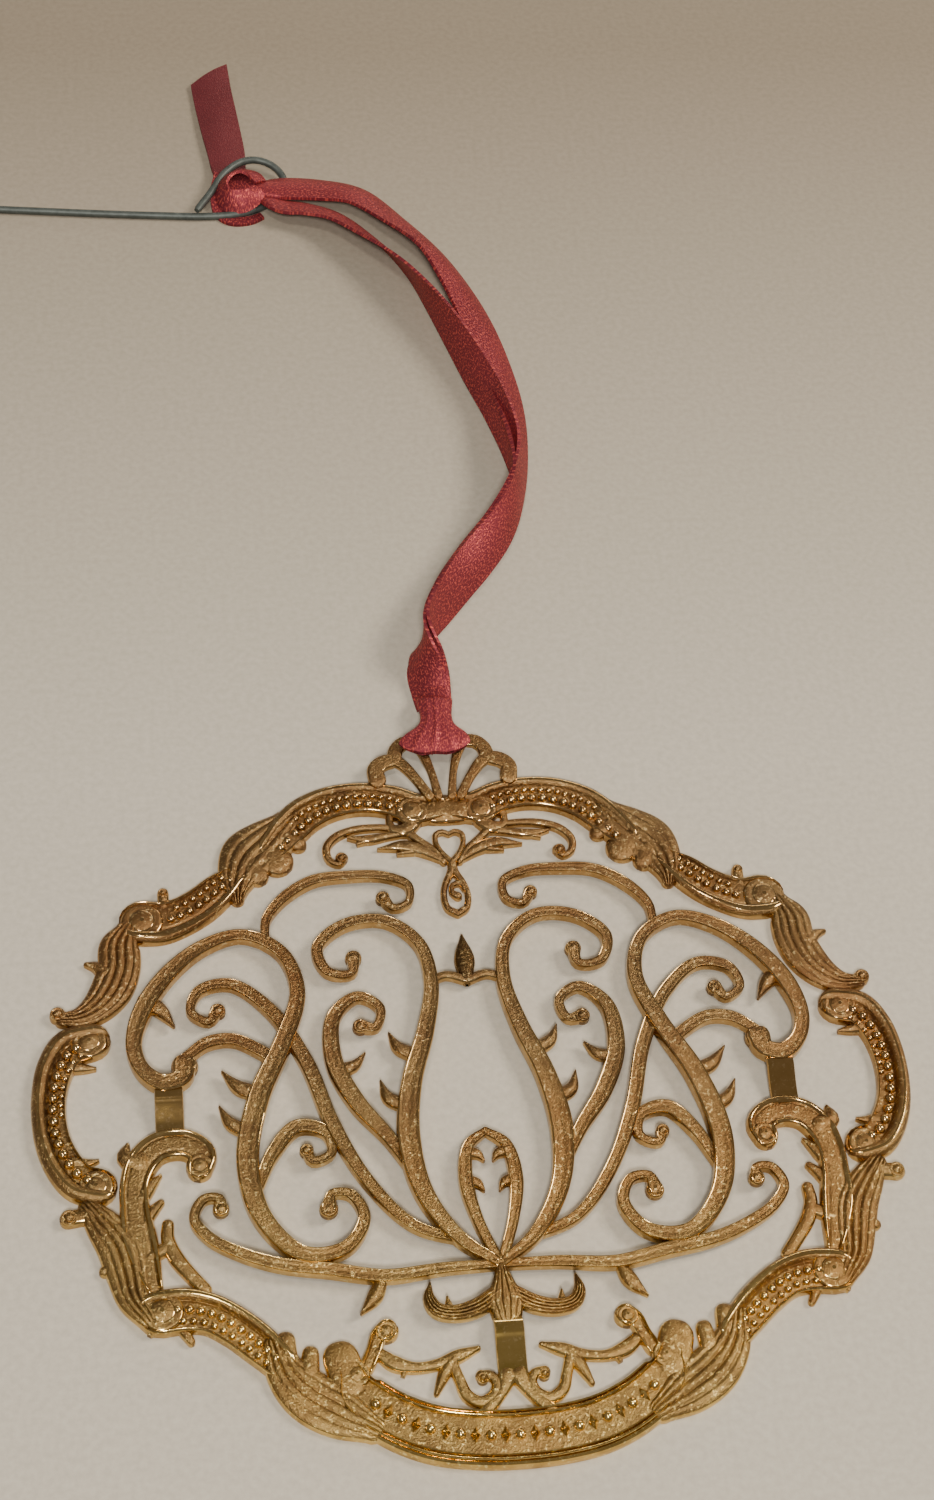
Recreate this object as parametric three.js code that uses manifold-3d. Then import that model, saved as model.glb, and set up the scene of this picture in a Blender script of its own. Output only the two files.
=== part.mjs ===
// Openwork brass ornament on a doubled satin ribbon, with the wire hook that it hangs from.
// It lies on its back: +X to its right, +Y towards the crest, +Z up, all in millimetres.
import * as THREE from 'three';
import { mergeVertices } from 'three/addons/utils/BufferGeometryUtils.js';
import Module from 'manifold-3d';

const wasm = await Module();
wasm.setup();

// Driving dimensions
const FRAME_BACK = 0;
const FRAME_FRONT = 1.4;
const CREST_BACK = 1.1;
const CREST_FRONT = 1.8;
const PANEL_BACK = 0.6;
const PANEL_FRONT = 1.8;
const TAB_WIDTH = 2.65;
const TAB_THICKNESS = 0.4;
const TAB_FLAT = 0.5;
const RIBBON_WIDTH = 4.8;
const RIBBON_THICKNESS = 0.6;
const WIRE_RADIUS = 0.45;
const STRAND_STEPS = 24;
const TAIL_STEPS = 5;
const WIRE_STEPS = 64;

// How finely the strokes are faceted
const SPAN_SAMPLES = 6;
const TURN_LIMIT = THREE.MathUtils.degToRad(30);
const POINTED_END = 0.2;
const WIDE_END = 0.8;

// Every stroke is a list of stations [x, y, half-width] on the right half. The left half mirrors it.
// y = 0 is where the side scrolls are widest.
const FRAME_STROKES = {
  topScroll: [
    [1.2, 33.0, 1.5], [3.2, 33.0, 1.9], [5.4, 34.0, 1.85], [8.4, 34.5, 1.85],
    [11.5, 34.1, 1.95], [14.2, 32.8, 2.05], [16.0, 31.0, 2.0], [17.6, 29.0, 1.6],
  ],
  hub: [[1.4, 32.8, 1.6], [0, 32.9, 1.75]],
  hubStem: [[5.4, 32.8, 0.7], [5.8, 31.8, 0.4], [5.6, 30.8, 0.5], [4.4, 30.5, 0.8], [3.4, 31.4, 0.8]],
  shoulderLeaf: [
    [16.4, 31.8, 1.5], [18.2, 30.0, 2.5], [20.0, 28.2, 2.9], [21.0, 26.4, 2.3],
    [21.4, 24.6, 1.5], [21.4, 23.2, 0.7],
  ],
  shoulderLobeTop: [[16.6, 30.2, 0.9], [15.1, 29.3, 0.85]],
  shoulderLobeMiddle: [[18.6, 28.6, 1.2], [17.3, 27.4, 1.65]],
  shoulderLobeLow: [[20.0, 27.0, 1.2], [19.3, 25.8, 1.1]],
  upperScroll: [
    [21.6, 25.6, 1.2], [23.0, 24.4, 1.75], [25.0, 22.6, 1.95], [27.0, 21.4, 2.05],
    [28.9, 20.8, 2.25], [30.6, 20.9, 2.4],
  ],
  upperBud: [[28.6, 22.6, 0.5], [28.6, 24.1, 0.58]],
  sideLeaf: [
    [32.2, 20.0, 1.2], [32.9, 18.4, 1.95], [33.0, 16.0, 2.05], [33.8, 13.6, 2.0],
    [35.2, 11.7, 1.6], [36.8, 10.7, 1.1], [38.4, 10.6, 0.7],
  ],
  sideLeafTip: [[34.2, 15.4, 0.9], [35.2, 16.3, 0.55], [36.1, 16.6, 0.25]],
  sideKnob: [[37.9, 10.6, 0.6], [38.8, 11.1, 0.78]],
  sideScroll: [
    [35.8, 8.1, 1.9], [37.7, 7.6, 1.95], [39.0, 5.6, 1.8], [39.6, 3.0, 1.65], [39.65, 0.2, 1.6],
    [39.2, -2.4, 1.65], [38.2, -4.7, 1.75], [36.9, -6.3, 1.8], [35.4, -6.8, 1.8],
  ],
  sideNibUpper: [[37.6, 5.6, 0.7], [36.4, 5.4, 0.45], [35.3, 5.3, 0.15]],
  sideNibLower: [[37.6, -4.2, 0.7], [36.4, -4.3, 0.45], [35.2, -4.1, 0.15]],
  bracketLeaf: [
    [36.2, -8.8, 1.0], [35.0, -10.4, 1.6], [33.6, -12.6, 2.0], [32.9, -15.2, 1.9],
    [32.4, -17.6, 1.5], [31.2, -19.6, 1.0],
  ],
  bracketKnob: [[36.0, -9.4, 0.9], [37.0, -9.6, 0.75], [38.0, -9.7, 0.8]],
  bracketNib: [[34.0, -14.4, 0.6], [34.9, -14.9, 0.5]],
  innerBracket: [
    [26.2, -5.5, 1.2], [26.0, -4.2, 1.4], [27.0, -3.2, 1.45], [28.5, -2.9, 1.5], [30.2, -3.4, 1.5],
    [31.5, -4.9, 1.5], [32.1, -7.0, 1.35], [32.1, -9.4, 1.4], [31.8, -12.0, 1.6],
    [31.2, -14.6, 1.3], [30.6, -16.8, 0.8],
  ],
  bracketTip: [[31.6, -4.6, 1.1], [32.9, -3.9, 0.8], [32.6, -2.6, 0.2]],
  bracketLeafletUpper: [[31.6, -8.4, 0.6], [30.9, -7.2, 0.65], [29.7, -5.9, 0.15]],
  bracketLeafletLower: [[31.4, -10.9, 0.5], [30.7, -9.6, 0.55], [29.8, -8.6, 0.35]],
  bracketTendril: [
    [29.25, -10.8, 0.55], [29.3, -12.2, 0.62], [28.7, -13.9, 0.7], [27.6, -15.5, 0.65],
    [26.2, -17.2, 0.6],
  ],
  tendrilLink: [[31.0, -13.9, 0.6], [29.4, -13.0, 0.6]],
  lowerScroll: [
    [30.1, -19.1, 2.15], [28.0, -19.0, 2.1], [25.8, -19.5, 1.9], [23.6, -20.9, 1.85],
    [21.7, -22.6, 1.8], [20.2, -24.2, 1.6],
  ],
  lowerSpur: [[30.6, -20.2, 0.9], [31.2, -21.1, 0.2]],
  lowerBud: [[28.2, -20.9, 0.5], [27.6, -21.9, 0.36]],
  cornerLeaf: [
    [20.4, -22.8, 1.1], [19.6, -25.2, 1.8], [17.8, -27.4, 2.3], [15.2, -29.2, 2.2],
    [12.6, -30.8, 1.2],
  ],
  cornerLobeOuter: [[19.4, -24.0, 0.9], [19.5, -22.4, 0.9]],
  cornerLobeMiddle: [[17.6, -25.4, 0.9], [17.4, -23.7, 0.75]],
  cornerLobeInner: [[14.2, -26.6, 1.6], [14.8, -24.3, 1.6]],
  banner: [
    [14.0, -26.0, 1.3], [13.4, -27.8, 2.2], [10.8, -30.0, 2.45], [7.4, -31.6, 2.55],
    [3.8, -32.3, 2.58], [0, -32.5, 2.58],
  ],
  bannerVolute: [[12.6, -25.2, 0.7], [11.9, -23.8, 0.7], [11.4, -22.6, 0.8], [10.6, -22.1, 1.05]],
  bannerArm: [
    [11.6, -24.0, 0.5], [10.2, -25.1, 0.7], [8.4, -25.6, 0.5], [6.4, -25.4, 0.5],
    [4.6, -24.8, 0.6], [2.8, -24.2, 0.25],
  ],
  bannerArmNib: [[9.2, -25.4, 0.4], [9.6, -26.3, 0.2]],
  bannerLeaflet: [[5.0, -25.0, 0.6], [5.9, -26.2, 0.6], [6.8, -28.0, 0.28]],
  footSpiral: [
    [5.2, -25.4, 0.5], [4.7, -27.0, 0.5], [4.2, -28.4, 0.55], [3.1, -29.1, 0.55],
    [2.0, -28.7, 0.55], [1.5, -27.7, 0.5], [1.9, -26.8, 0.45], [2.8, -26.7, 0.5],
  ],
  footLeg: [[0.5, -26.9, 0.9], [1.1, -28.2, 0.55], [2.1, -29.3, 0.6], [3.0, -30.2, 0.6]],
  curl: [
    [5.6, 30.9, 0.35], [7.6, 31.0, 0.4], [9.6, 30.8, 0.42], [11.4, 30.0, 0.45],
    [12.35, 28.7, 0.42], [12.1, 27.3, 0.38], [11.2, 26.8, 0.35], [10.9, 27.5, 0.65],
  ],
  sprigUpper: [[4.4, 30.2, 0.4], [6.2, 29.9, 0.4], [8.2, 29.6, 0.5], [10.2, 29.9, 0.15]],
  sprigUpperNib: [[7.6, 29.7, 0.4], [9.3, 29.1, 0.2]],
  sprigLower: [[1.0, 26.8, 0.3], [2.6, 27.9, 0.6], [4.6, 28.6, 0.65], [7.3, 28.4, 0.12]],
  sprigLowerNib: [[3.4, 28.1, 0.5], [5.4, 27.7, 0.15]],
  sprigArm: [[4.2, 30.4, 0.5], [3.2, 29.4, 0.42], [1.9, 28.2, 0.4], [0.8, 26.6, 0.35]],
  heart: [
    [0.0, 29.9, 0.25], [0.6, 30.2, 0.28], [1.3, 29.9, 0.3], [1.4, 29.1, 0.28],
    [1.0, 27.9, 0.28], [0.0, 26.4, 0.4],
  ],
  pendant: [
    [0.0, 26.6, 0.45], [0.2, 25.4, 0.4], [0.9, 24.0, 0.33], [1.2, 22.6, 0.33],
    [0.9, 21.1, 0.35], [0.0, 20.5, 0.4],
  ],
};

// Small curl inside the pendant, the only stroke that isn't mirrored
const PENDANT_CURL = [
  [1.0, 23.3, 0.3], [0.5, 24.0, 0.28], [-0.2, 23.8, 0.28], [-0.35, 23.0, 0.3], [0.2, 22.5, 0.42],
];

// The scalloped shell crest stands on the hub, clear of the ground, so that the ribbon passes behind it.
const CREST_STROKES = {
  rim: [
    [6.7, 36.1, 0.9], [6.8, 37.4, 0.85], [6.0, 38.2, 0.85], [4.9, 38.6, 0.8], [4.5, 39.8, 0.75],
    [3.7, 40.6, 0.75], [2.6, 40.8, 0.7], [1.6, 41.4, 0.6], [0, 41.5, 0.6],
  ],
  ribInner: [[0.7, 34.0, 0.45], [1.1, 36.8, 0.4], [1.7, 39.0, 0.5], [2.4, 40.7, 0.6]],
  ribOuter: [[1.6, 34.0, 0.5], [2.8, 36.2, 0.5], [3.9, 37.8, 0.6], [4.9, 38.7, 0.7]],
};

const PANEL_STROKES = {
  lyre: [
    [0.3, -16.6, 0.5], [3.4, -14.2, 0.75], [6.2, -9.6, 1], [7.1, -3.8, 1.2], [6.3, 1.8, 1.1],
    [4.5, 7.2, 0.95], [3.5, 12.4, 0.8], [4.3, 16.8, 0.7], [7.4, 19.5, 0.65], [11.4, 19.2, 0.65],
    [14.1, 16.7, 0.65], [13.2, 14, 0.55], [11, 13.8, 0.5], [10.7, 15.6, 0.75],
  ],
  longScroll: [
    [14.9, -10.4, 0.8], [14.5, -9.1, 0.5], [12.8, -9.3, 0.55], [11.8, -11.6, 0.65], [13.6, -14.4, 0.75],
    [17.4, -14.8, 0.85], [20.8, -11.2, 1], [21.9, -5.6, 1.15], [20.6, 0.8, 1.15], [17.9, 6.8, 1],
    [16.3, 12, 0.85], [17.6, 16.4, 0.75], [21.2, 18.5, 0.7], [25, 17.4, 0.8], [28.6, 14.3, 0.95],
    [31, 10.4, 1], [31.8, 6.9, 0.85], [31, 4.3, 0.85], [29.2, 2.9, 1], [27.5, 3.4, 1.05],
    [27.2, 4.7, 1.25],
  ],
  crown: [
    [7.3, 22.2, 0.65], [6.4, 21, 0.45], [4.9, 21.5, 0.45], [4.7, 23.5, 0.5], [7, 24.7, 0.55],
    [10.4, 24.9, 0.6], [14, 24.5, 0.65], [17, 22.6, 0.65], [18.8, 20.2, 0.55], [19, 17.8, 0.45],
  ],
  fern: [
    [6.8, -7.8, 0.5], [8.8, -4, 0.75], [11.6, 0, 0.95], [13.4, 4.6, 0.95], [13, 9.2, 0.8],
    [10.6, 11.2, 0.6], [8.6, 9.8, 0.55], [9.2, 7.8, 0.5], [10.6, 8, 0.7],
  ],
  sprout: [
    [21.2, -8.4, 0.5], [19.6, -4.8, 0.75], [17.2, -2.2, 0.8], [14.6, -2.9, 0.65], [14.3, -5, 0.5],
    [16, -5.7, 0.5], [16.5, -4.5, 0.6],
  ],
  vine: [
    [2.8, -14.4, 0.5], [7.4, -12.6, 0.6], [11.2, -8, 0.7], [14, -2, 0.8], [16, 4.6, 0.8],
    [19, 10.2, 0.75], [22.6, 13.2, 0.65], [25.6, 12.6, 0.6], [26.4, 10.4, 0.5], [24.8, 9.3, 0.5],
    [23.9, 10.5, 0.7],
  ],
  baseScroll: [
    [0.4, -16.8, 0.5], [5.2, -16.9, 0.6], [10.4, -17.3, 0.7], [15.2, -16.4, 0.75], [19.6, -15.6, 0.7],
    [23, -14.3, 0.65], [25.7, -12.6, 0.6], [26.9, -10.7, 0.55], [26, -8.9, 0.5], [24.6, -8.9, 0.5],
    [24.5, -10, 0.7],
  ],
  baseBud: [[10.6, -17.4, 0.5], [11.4, -19, 0.8], [12.8, -20.6, 0.12]],
  voluteLink: [[27, 5.6, 0.6], [25, 7, 0.7], [22.6, 7.2, 0.7], [20.2, 5.9, 0.7], [18.6, 4.6, 0.7]],
  yoke: [[0, 12.6, 0.55], [2, 13.2, 0.5], [3.6, 12.6, 0.5]],
  finial: [[0, 12.6, 0.6], [0, 14.9, 1.1], [0, 17.6, 0.15]],
  outerNib: [[30.6, 12, 0.9], [29.2, 10.8, 0.8], [28, 9, 0.12]],
  scrollLeafUpper: [[20.4, 1.6, 0.8], [22.2, 2.2, 0.8], [23.8, 4, 0.12]],
  scrollLeafLower: [[21.4, -2.4, 0.8], [23.2, -1.4, 0.7], [24.2, 0.4, 0.12]],
  lyreLeaf: [[5.4, 4.6, 0.8], [7.2, 5.6, 0.7], [8, 7.2, 0.12]],
  fernLeaf: [[13.2, 3.6, 0.7], [11.6, 3.9, 0.65], [10.4, 5.2, 0.12]],
  lyreLeafLow: [[6.8, -0.6, 0.8], [8.6, 0.4, 0.7], [9.2, 2.2, 0.12]],
  stemOval: [[0, -16.8, 0.5], [1.6, -12.5, 0.6], [2.3, -8.4, 0.75], [1.7, -5, 0.6], [0, -3.6, 0.4]],
  stemNibUpper: [[1.9, -5.6, 0.6], [0.9, -5.9, 0.5], [0.4, -6.6, 0.1]],
  stemNibLower: [[2.2, -8.4, 0.6], [1.2, -8.8, 0.5], [0.7, -9.6, 0.1]],
  palmette: [[0, -16.9, 0.5], [0, -18.4, 1.1], [0, -20.3, 2], [0, -21.2, 1.6]],
  palmetteArm: [
    [0.8, -19.6, 0.9], [2.6, -20.7, 0.95], [4.6, -21.1, 0.85], [6.1, -20.7, 0.8], [6.7, -19.6, 0.65],
    [6.5, -18.1, 0.1],
  ],
  palmetteNib: [[5, -20.8, 0.6], [5.1, -19.5, 0.12]],
};

// The ribbon's two strands leave the hitch together, turn once, and part before the knot.
// Route points are [x, y, z].
const LOWER_STRAND_ROUTE = [
  [0.0, 45.6, 0.6], [-0.1, 48.5, 0.6], [-0.2, 52.0, 0.6], [0.5, 56.0, 0.6], [2.8, 60.5, 0.6],
  [6.0, 65.5, 0.6], [9.2, 70.5, 0.6], [11.6, 76.0, 0.6], [12.1, 82.0, 0.6], [11.0, 88.5, 0.6],
  [9.2, 94.5, 0.6], [7.2, 100.5, 0.6], [4.8, 106.5, 0.6], [2.2, 111.8, 0.6], [-1.2, 116.4, 0.7],
  [-5.0, 120.0, 1.0], [-8.6, 122.8, 1.4], [-11.3, 124.5, 1.6],
];
const UPPER_STRAND_ROUTE = [
  [0.1, 45.6, 1.5], [0.1, 48.5, 1.5], [0.1, 52.0, 1.5], [0.8, 56.0, 1.5], [3.2, 60.3, 1.5],
  [6.5, 65.2, 1.5], [9.8, 70.2, 1.5], [12.1, 75.9, 1.5], [12.7, 82.0, 1.5], [12.4, 88.8, 1.5],
  [11.5, 95.2, 1.5], [10.2, 101.6, 1.5], [8.3, 108.0, 1.5], [5.8, 113.9, 1.5], [1.9, 119.0, 1.5],
  [-2.2, 123.0, 1.8], [-6.6, 125.4, 2.5], [-11.1, 126.5, 3.0],
];
const TAIL_ROUTE = [
  [-16.7, 129.3, 0.6], [-17.0, 132.5, 0.6], [-17.4, 136.0, 0.6], [-18.0, 140.0, 0.6],
  [-18.6, 144.0, 0.6], [-19.0, 148.2, 0.6],
];
const KNOT_CENTRE = [-15.6, 126.0, 1.9];
const KNOT_RADII = [3.1, 2.5, 1.5];

// The hook's wire starts at the tip that closes its eye, runs round the eye and along the shank,
// and ends in the open crook that goes over a branch.
const HOOK_ROUTE = [
  [-21.6, 122.5, 0.7], [-20.4, 125.4, 1.3], [-18.5, 128.3, 1.7], [-16.1, 130.5, 1.8],
  [-13.2, 131.3, 1.5], [-11.2, 130.0, 0.9], [-10.7, 127.6, 0.5], [-11.5, 124.9, 0.45],
  [-13.4, 122.7, 0.45], [-16.4, 121.4, 0.45], [-20.5, 121.0, 0.45], [-26.0, 121.2, 0.45],
  [-33.0, 121.6, 0.45], [-40.0, 122.1, 0.45], [-48.0, 122.7, 0.45], [-56.0, 123.4, 0.45],
  [-63.0, 124.2, 0.45], [-68.4, 125.8, 0.45], [-72.4, 129.0, 0.45], [-73.7, 133.6, 0.45],
  [-71.8, 138.0, 0.45], [-67.4, 140.2, 0.45], [-62.6, 139.0, 0.45], [-60.2, 135.4, 0.45],
];

// Ribbon hitch round the middle of the crest's rim
const RIM_CENTRE_Y = 41.5;
const HITCH_HALF_WIDTH = 0.8;
const HITCH_INNER = { low: -1.0, high: 1.1, back: 0.55, front: 2.1 };
const HITCH_OUTER = { low: -1.9, high: 3.7, back: 0.15, front: 2.9 };
const NECK_FRONT = 2.2;
const BELL_OUTLINE = [
  [-3.7, 41.1], [-2.6, 40.3], [-1.1, 39.7], [0, 40.1], [1.1, 39.7], [2.6, 40.3], [3.7, 41.1],
  [2.6, 43.0], [1.9, 45.2], [-1.9, 45.2], [-2.6, 43.0],
];
const NECK_OUTLINE = [[-2.3, 43.2], [2.3, 43.2], [1.9, 45.2], [-1.9, 45.2]];

const materials = {
  brass: new THREE.MeshStandardMaterial({ color: 0xb07a26, roughness: 0.32, metalness: 1 }),
  frostedBrass: new THREE.MeshStandardMaterial({ color: 0xa87424, roughness: 0.45, metalness: 1 }),
  mirrorBrass: new THREE.MeshStandardMaterial({ color: 0xb88a34, roughness: 0.12, metalness: 1 }),
  satin: new THREE.MeshStandardMaterial({ color: 0x8c1c26, roughness: 0.5, metalness: 0 }),
  wire: new THREE.MeshStandardMaterial({ color: 0x59605a, roughness: 0.4, metalness: 1 }),
};

/** Stations of a stroke, kept at its control points and wherever it has turned far enough. */
function strokeStations(points) {
  const curve = new THREE.CatmullRomCurve3(points.map(([x, y, w]) => new THREE.Vector3(x, y, w)));
  const count = (points.length - 1) * SPAN_SAMPLES;
  const stations = [];
  let keptAngle = Infinity;
  for (let i = 0; i <= count; i += 1) {
    const { x, y, z: halfWidth } = curve.getPoint(i / count);
    const tangent = curve.getTangent(i / count);
    const angle = Math.atan2(tangent.y, tangent.x);
    const turn = Math.abs(Math.atan2(Math.sin(angle - keptAngle), Math.cos(angle - keptAngle)));
    if (i % SPAN_SAMPLES === 0 || turn > TURN_LIMIT) {
      stations.push({ x, y, halfWidth, angle });
      keptAngle = angle;
    }
  }
  return stations;
}

/** Points of a round end, from one side of the stroke to the other, without its two corners. */
function roundEnd({ x, y, halfWidth }, startAngle) {
  if (halfWidth <= POINTED_END) {
    return [];
  }
  const segments = halfWidth > WIDE_END ? 7 : 4;
  const points = [];
  for (let i = 1; i < segments; i += 1) {
    const angle = startAngle + (Math.PI * i) / segments;
    points.push([x + halfWidth * Math.cos(angle), y + halfWidth * Math.sin(angle)]);
  }
  return points;
}

/** Closed outline of a stroke: out along its right side, round the end, and back along its left. */
function strokeOutline(points) {
  const stations = strokeStations(points);
  const side = (sign) => stations.map(({ x, y, halfWidth, angle }) => [
    x - sign * halfWidth * Math.sin(angle),
    y + sign * halfWidth * Math.cos(angle),
  ]);
  const first = stations[0];
  const last = stations.at(-1);
  return [
    ...side(-1),
    ...roundEnd(last, last.angle - Math.PI / 2),
    ...side(1).reverse(),
    ...roundEnd(first, first.angle + Math.PI / 2),
  ];
}

/** Solid prism of an outline in the XY plane, from z = back to z = front. */
function prism(outline, back, front) {
  const shape = new THREE.Shape(outline.map(([x, y]) => new THREE.Vector2(x, y)));
  const geometry = new THREE.ExtrudeGeometry(shape, { depth: front - back, bevelEnabled: false });
  return geometry.translate(0, 0, back);
}

/** Turns a closed geometry into a manifold solid. */
function toSolid(geometry) {
  const bare = geometry.index ? geometry.toNonIndexed() : geometry.clone();
  bare.deleteAttribute('normal');
  bare.deleteAttribute('uv');
  const merged = mergeVertices(bare, 1e-5);
  const mesh = new wasm.Mesh({
    numProp: 3,
    vertProperties: new Float32Array(merged.attributes.position.array),
    triVerts: new Uint32Array(merged.index.array),
  });
  return new wasm.Manifold(mesh);
}

/** Turns a manifold solid back into a geometry. */
function toGeometry(solid) {
  const mesh = solid.getMesh();
  const geometry = new THREE.BufferGeometry();
  geometry.setAttribute('position', new THREE.BufferAttribute(mesh.vertProperties, mesh.numProp));
  geometry.setIndex(new THREE.BufferAttribute(mesh.triVerts, 1));
  return geometry;
}

/** Joins solids two by two until one is left. */
function joinSolids(solids) {
  let rest = solids;
  while (rest.length > 1) {
    const joined = [];
    for (let i = 0; i < rest.length; i += 2) {
      joined.push(i + 1 < rest.length ? rest[i].add(rest[i + 1]) : rest[i]);
    }
    rest = joined;
  }
  return rest[0];
}

/** Both halves of a set of strokes, as prisms of one thickness. */
function mirroredStrokes(strokes, back, front) {
  const solids = [];
  for (const points of Object.values(strokes)) {
    for (const sign of [1, -1]) {
      const outline = strokeOutline(points).map(([x, y]) => [sign * x, y]);
      solids.push(toSolid(prism(outline, back, front)));
    }
  }
  return solids;
}

/** Named mesh of a geometry, with flat normals. */
function part(name, geometry, material) {
  const flat = geometry.index ? geometry.toNonIndexed() : geometry;
  flat.computeVertexNormals();
  const mesh = new THREE.Mesh(flat, material);
  mesh.name = name;
  return mesh;
}

function framePlate() {
  const plate = mirroredStrokes(FRAME_STROKES, FRAME_BACK, FRAME_FRONT);
  const crest = mirroredStrokes(CREST_STROKES, CREST_BACK, CREST_FRONT);
  const pendantCurl = toSolid(prism(strokeOutline(PENDANT_CURL), FRAME_BACK, FRAME_FRONT));
  return toGeometry(joinSolids([...plate, ...crest, pendantCurl]));
}

function scrollPanel() {
  return toGeometry(joinSolids(mirroredStrokes(PANEL_STROKES, PANEL_BACK, PANEL_FRONT)));
}

/** Strip bent like a step: flat beside the panel, sloping down, and flat beside the frame. */
function bridgeTab(centreX, upperY, lowerY) {
  const upper = (PANEL_BACK + PANEL_FRONT) / 2;
  const lower = (FRAME_BACK + FRAME_FRONT) / 2;
  const line = [[upperY, upper], [upperY - TAB_FLAT, upper], [lowerY + TAB_FLAT, lower], [lowerY, lower]];
  const offset = TAB_THICKNESS / 2;
  const shape = new THREE.Shape([
    ...line.map(([y, z]) => new THREE.Vector2(y, z - offset)),
    ...line.map(([y, z]) => new THREE.Vector2(y, z + offset)).reverse(),
  ]);
  const geometry = new THREE.ExtrudeGeometry(shape, { depth: TAB_WIDTH, bevelEnabled: false });
  const standUp = new THREE.Matrix4().makeBasis(
    new THREE.Vector3(0, 1, 0),
    new THREE.Vector3(0, 0, 1),
    new THREE.Vector3(1, 0, 0),
  );
  return geometry.applyMatrix4(standUp).translate(centreX - TAB_WIDTH / 2, 0, 0);
}

/** Ring of ribbon round the rim, with the flared bell in front of it and the neck above it. */
function ribbonHitch() {
  const box = (edge, halfWidth) => {
    const outline = [
      [-halfWidth, RIM_CENTRE_Y + edge.low], [halfWidth, RIM_CENTRE_Y + edge.low],
      [halfWidth, RIM_CENTRE_Y + edge.high], [-halfWidth, RIM_CENTRE_Y + edge.high],
    ];
    return toSolid(prism(outline, edge.back, edge.front));
  };
  const ring = box(HITCH_OUTER, HITCH_HALF_WIDTH).subtract(box(HITCH_INNER, HITCH_HALF_WIDTH + 1));
  const bell = toSolid(prism(BELL_OUTLINE, HITCH_INNER.front, HITCH_OUTER.front));
  const neck = toSolid(prism(NECK_OUTLINE, HITCH_OUTER.back, NECK_FRONT));
  return toGeometry(joinSolids([ring, bell, neck]));
}

/** Flat band along a route, with cut corners. */
function ribbonBand(route, steps) {
  const halfThickness = RIBBON_THICKNESS / 2;
  const halfWidth = RIBBON_WIDTH / 2;
  const corner = halfThickness / 2;
  const quarter = [[halfThickness, halfWidth - corner], [halfThickness - corner, halfWidth]];
  const section = new THREE.Shape([
    ...quarter.map(([x, y]) => new THREE.Vector2(x, y)),
    ...quarter.map(([x, y]) => new THREE.Vector2(-x, y)).reverse(),
    ...quarter.map(([x, y]) => new THREE.Vector2(-x, -y)),
    ...quarter.map(([x, y]) => new THREE.Vector2(x, -y)).reverse(),
  ]);
  return alongRoute(section, route, steps);
}

function alongRoute(section, route, steps) {
  const extrudePath = new THREE.CatmullRomCurve3(route.map((point) => new THREE.Vector3(...point)));
  return new THREE.ExtrudeGeometry(section, { steps, extrudePath });
}

function ribbonKnot() {
  const geometry = new THREE.SphereGeometry(1, 14, 9);
  return geometry.scale(...KNOT_RADII).translate(...KNOT_CENTRE);
}

function wireHook() {
  const section = new THREE.Shape();
  section.absarc(0, 0, WIRE_RADIUS, 0, 2 * Math.PI);
  const round = new THREE.Shape(section.getPoints(4).slice(0, -1));
  return alongRoute(round, HOOK_ROUTE, WIRE_STEPS);
}

const frameGeometry = framePlate();
frameGeometry.computeBoundingBox();
const { min, max } = frameGeometry.boundingBox;

const ornament = new THREE.Group();
ornament.position.y = -(min.y + max.y) / 2;
ornament.add(
  part('frame_plate', frameGeometry, materials.brass),
  part('scroll_panel', scrollPanel(), materials.frostedBrass),
  part('bridge_tab_left', bridgeTab(-28.75, 1.6, -1.05), materials.mirrorBrass),
  part('bridge_tab_right', bridgeTab(28.75, 1.6, -1.05), materials.mirrorBrass),
  part('bridge_tab_bottom', bridgeTab(0, -23.1, -25.7), materials.mirrorBrass),
  part('ribbon_hitch', ribbonHitch(), materials.satin),
  part('ribbon_strand_lower', ribbonBand(LOWER_STRAND_ROUTE, STRAND_STEPS), materials.satin),
  part('ribbon_strand_upper', ribbonBand(UPPER_STRAND_ROUTE, STRAND_STEPS), materials.satin),
  part('ribbon_knot', ribbonKnot(), materials.satin),
  part('ribbon_tail', ribbonBand(TAIL_ROUTE, TAIL_STEPS), materials.satin),
  part('wire_hook', wireHook(), materials.wire),
);

export default ornament;
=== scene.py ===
import math

import bpy
import numpy as np
from mathutils import Matrix, Vector


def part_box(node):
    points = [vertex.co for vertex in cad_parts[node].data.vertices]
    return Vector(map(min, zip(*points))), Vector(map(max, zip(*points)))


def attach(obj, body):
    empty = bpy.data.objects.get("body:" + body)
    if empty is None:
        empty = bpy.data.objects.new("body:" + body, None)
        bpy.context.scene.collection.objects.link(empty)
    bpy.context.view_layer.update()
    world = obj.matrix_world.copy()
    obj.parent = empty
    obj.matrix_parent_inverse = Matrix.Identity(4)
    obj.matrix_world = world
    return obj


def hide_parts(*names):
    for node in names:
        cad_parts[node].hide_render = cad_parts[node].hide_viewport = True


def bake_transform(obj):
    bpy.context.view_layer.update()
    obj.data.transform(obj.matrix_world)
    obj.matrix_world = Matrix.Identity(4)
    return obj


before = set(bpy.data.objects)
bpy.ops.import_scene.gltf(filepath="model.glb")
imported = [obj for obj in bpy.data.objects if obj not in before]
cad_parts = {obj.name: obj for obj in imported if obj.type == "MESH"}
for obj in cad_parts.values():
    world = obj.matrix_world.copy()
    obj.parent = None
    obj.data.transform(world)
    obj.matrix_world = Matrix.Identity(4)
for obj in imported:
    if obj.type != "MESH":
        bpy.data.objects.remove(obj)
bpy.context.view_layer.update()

MM = 0.001

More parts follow.
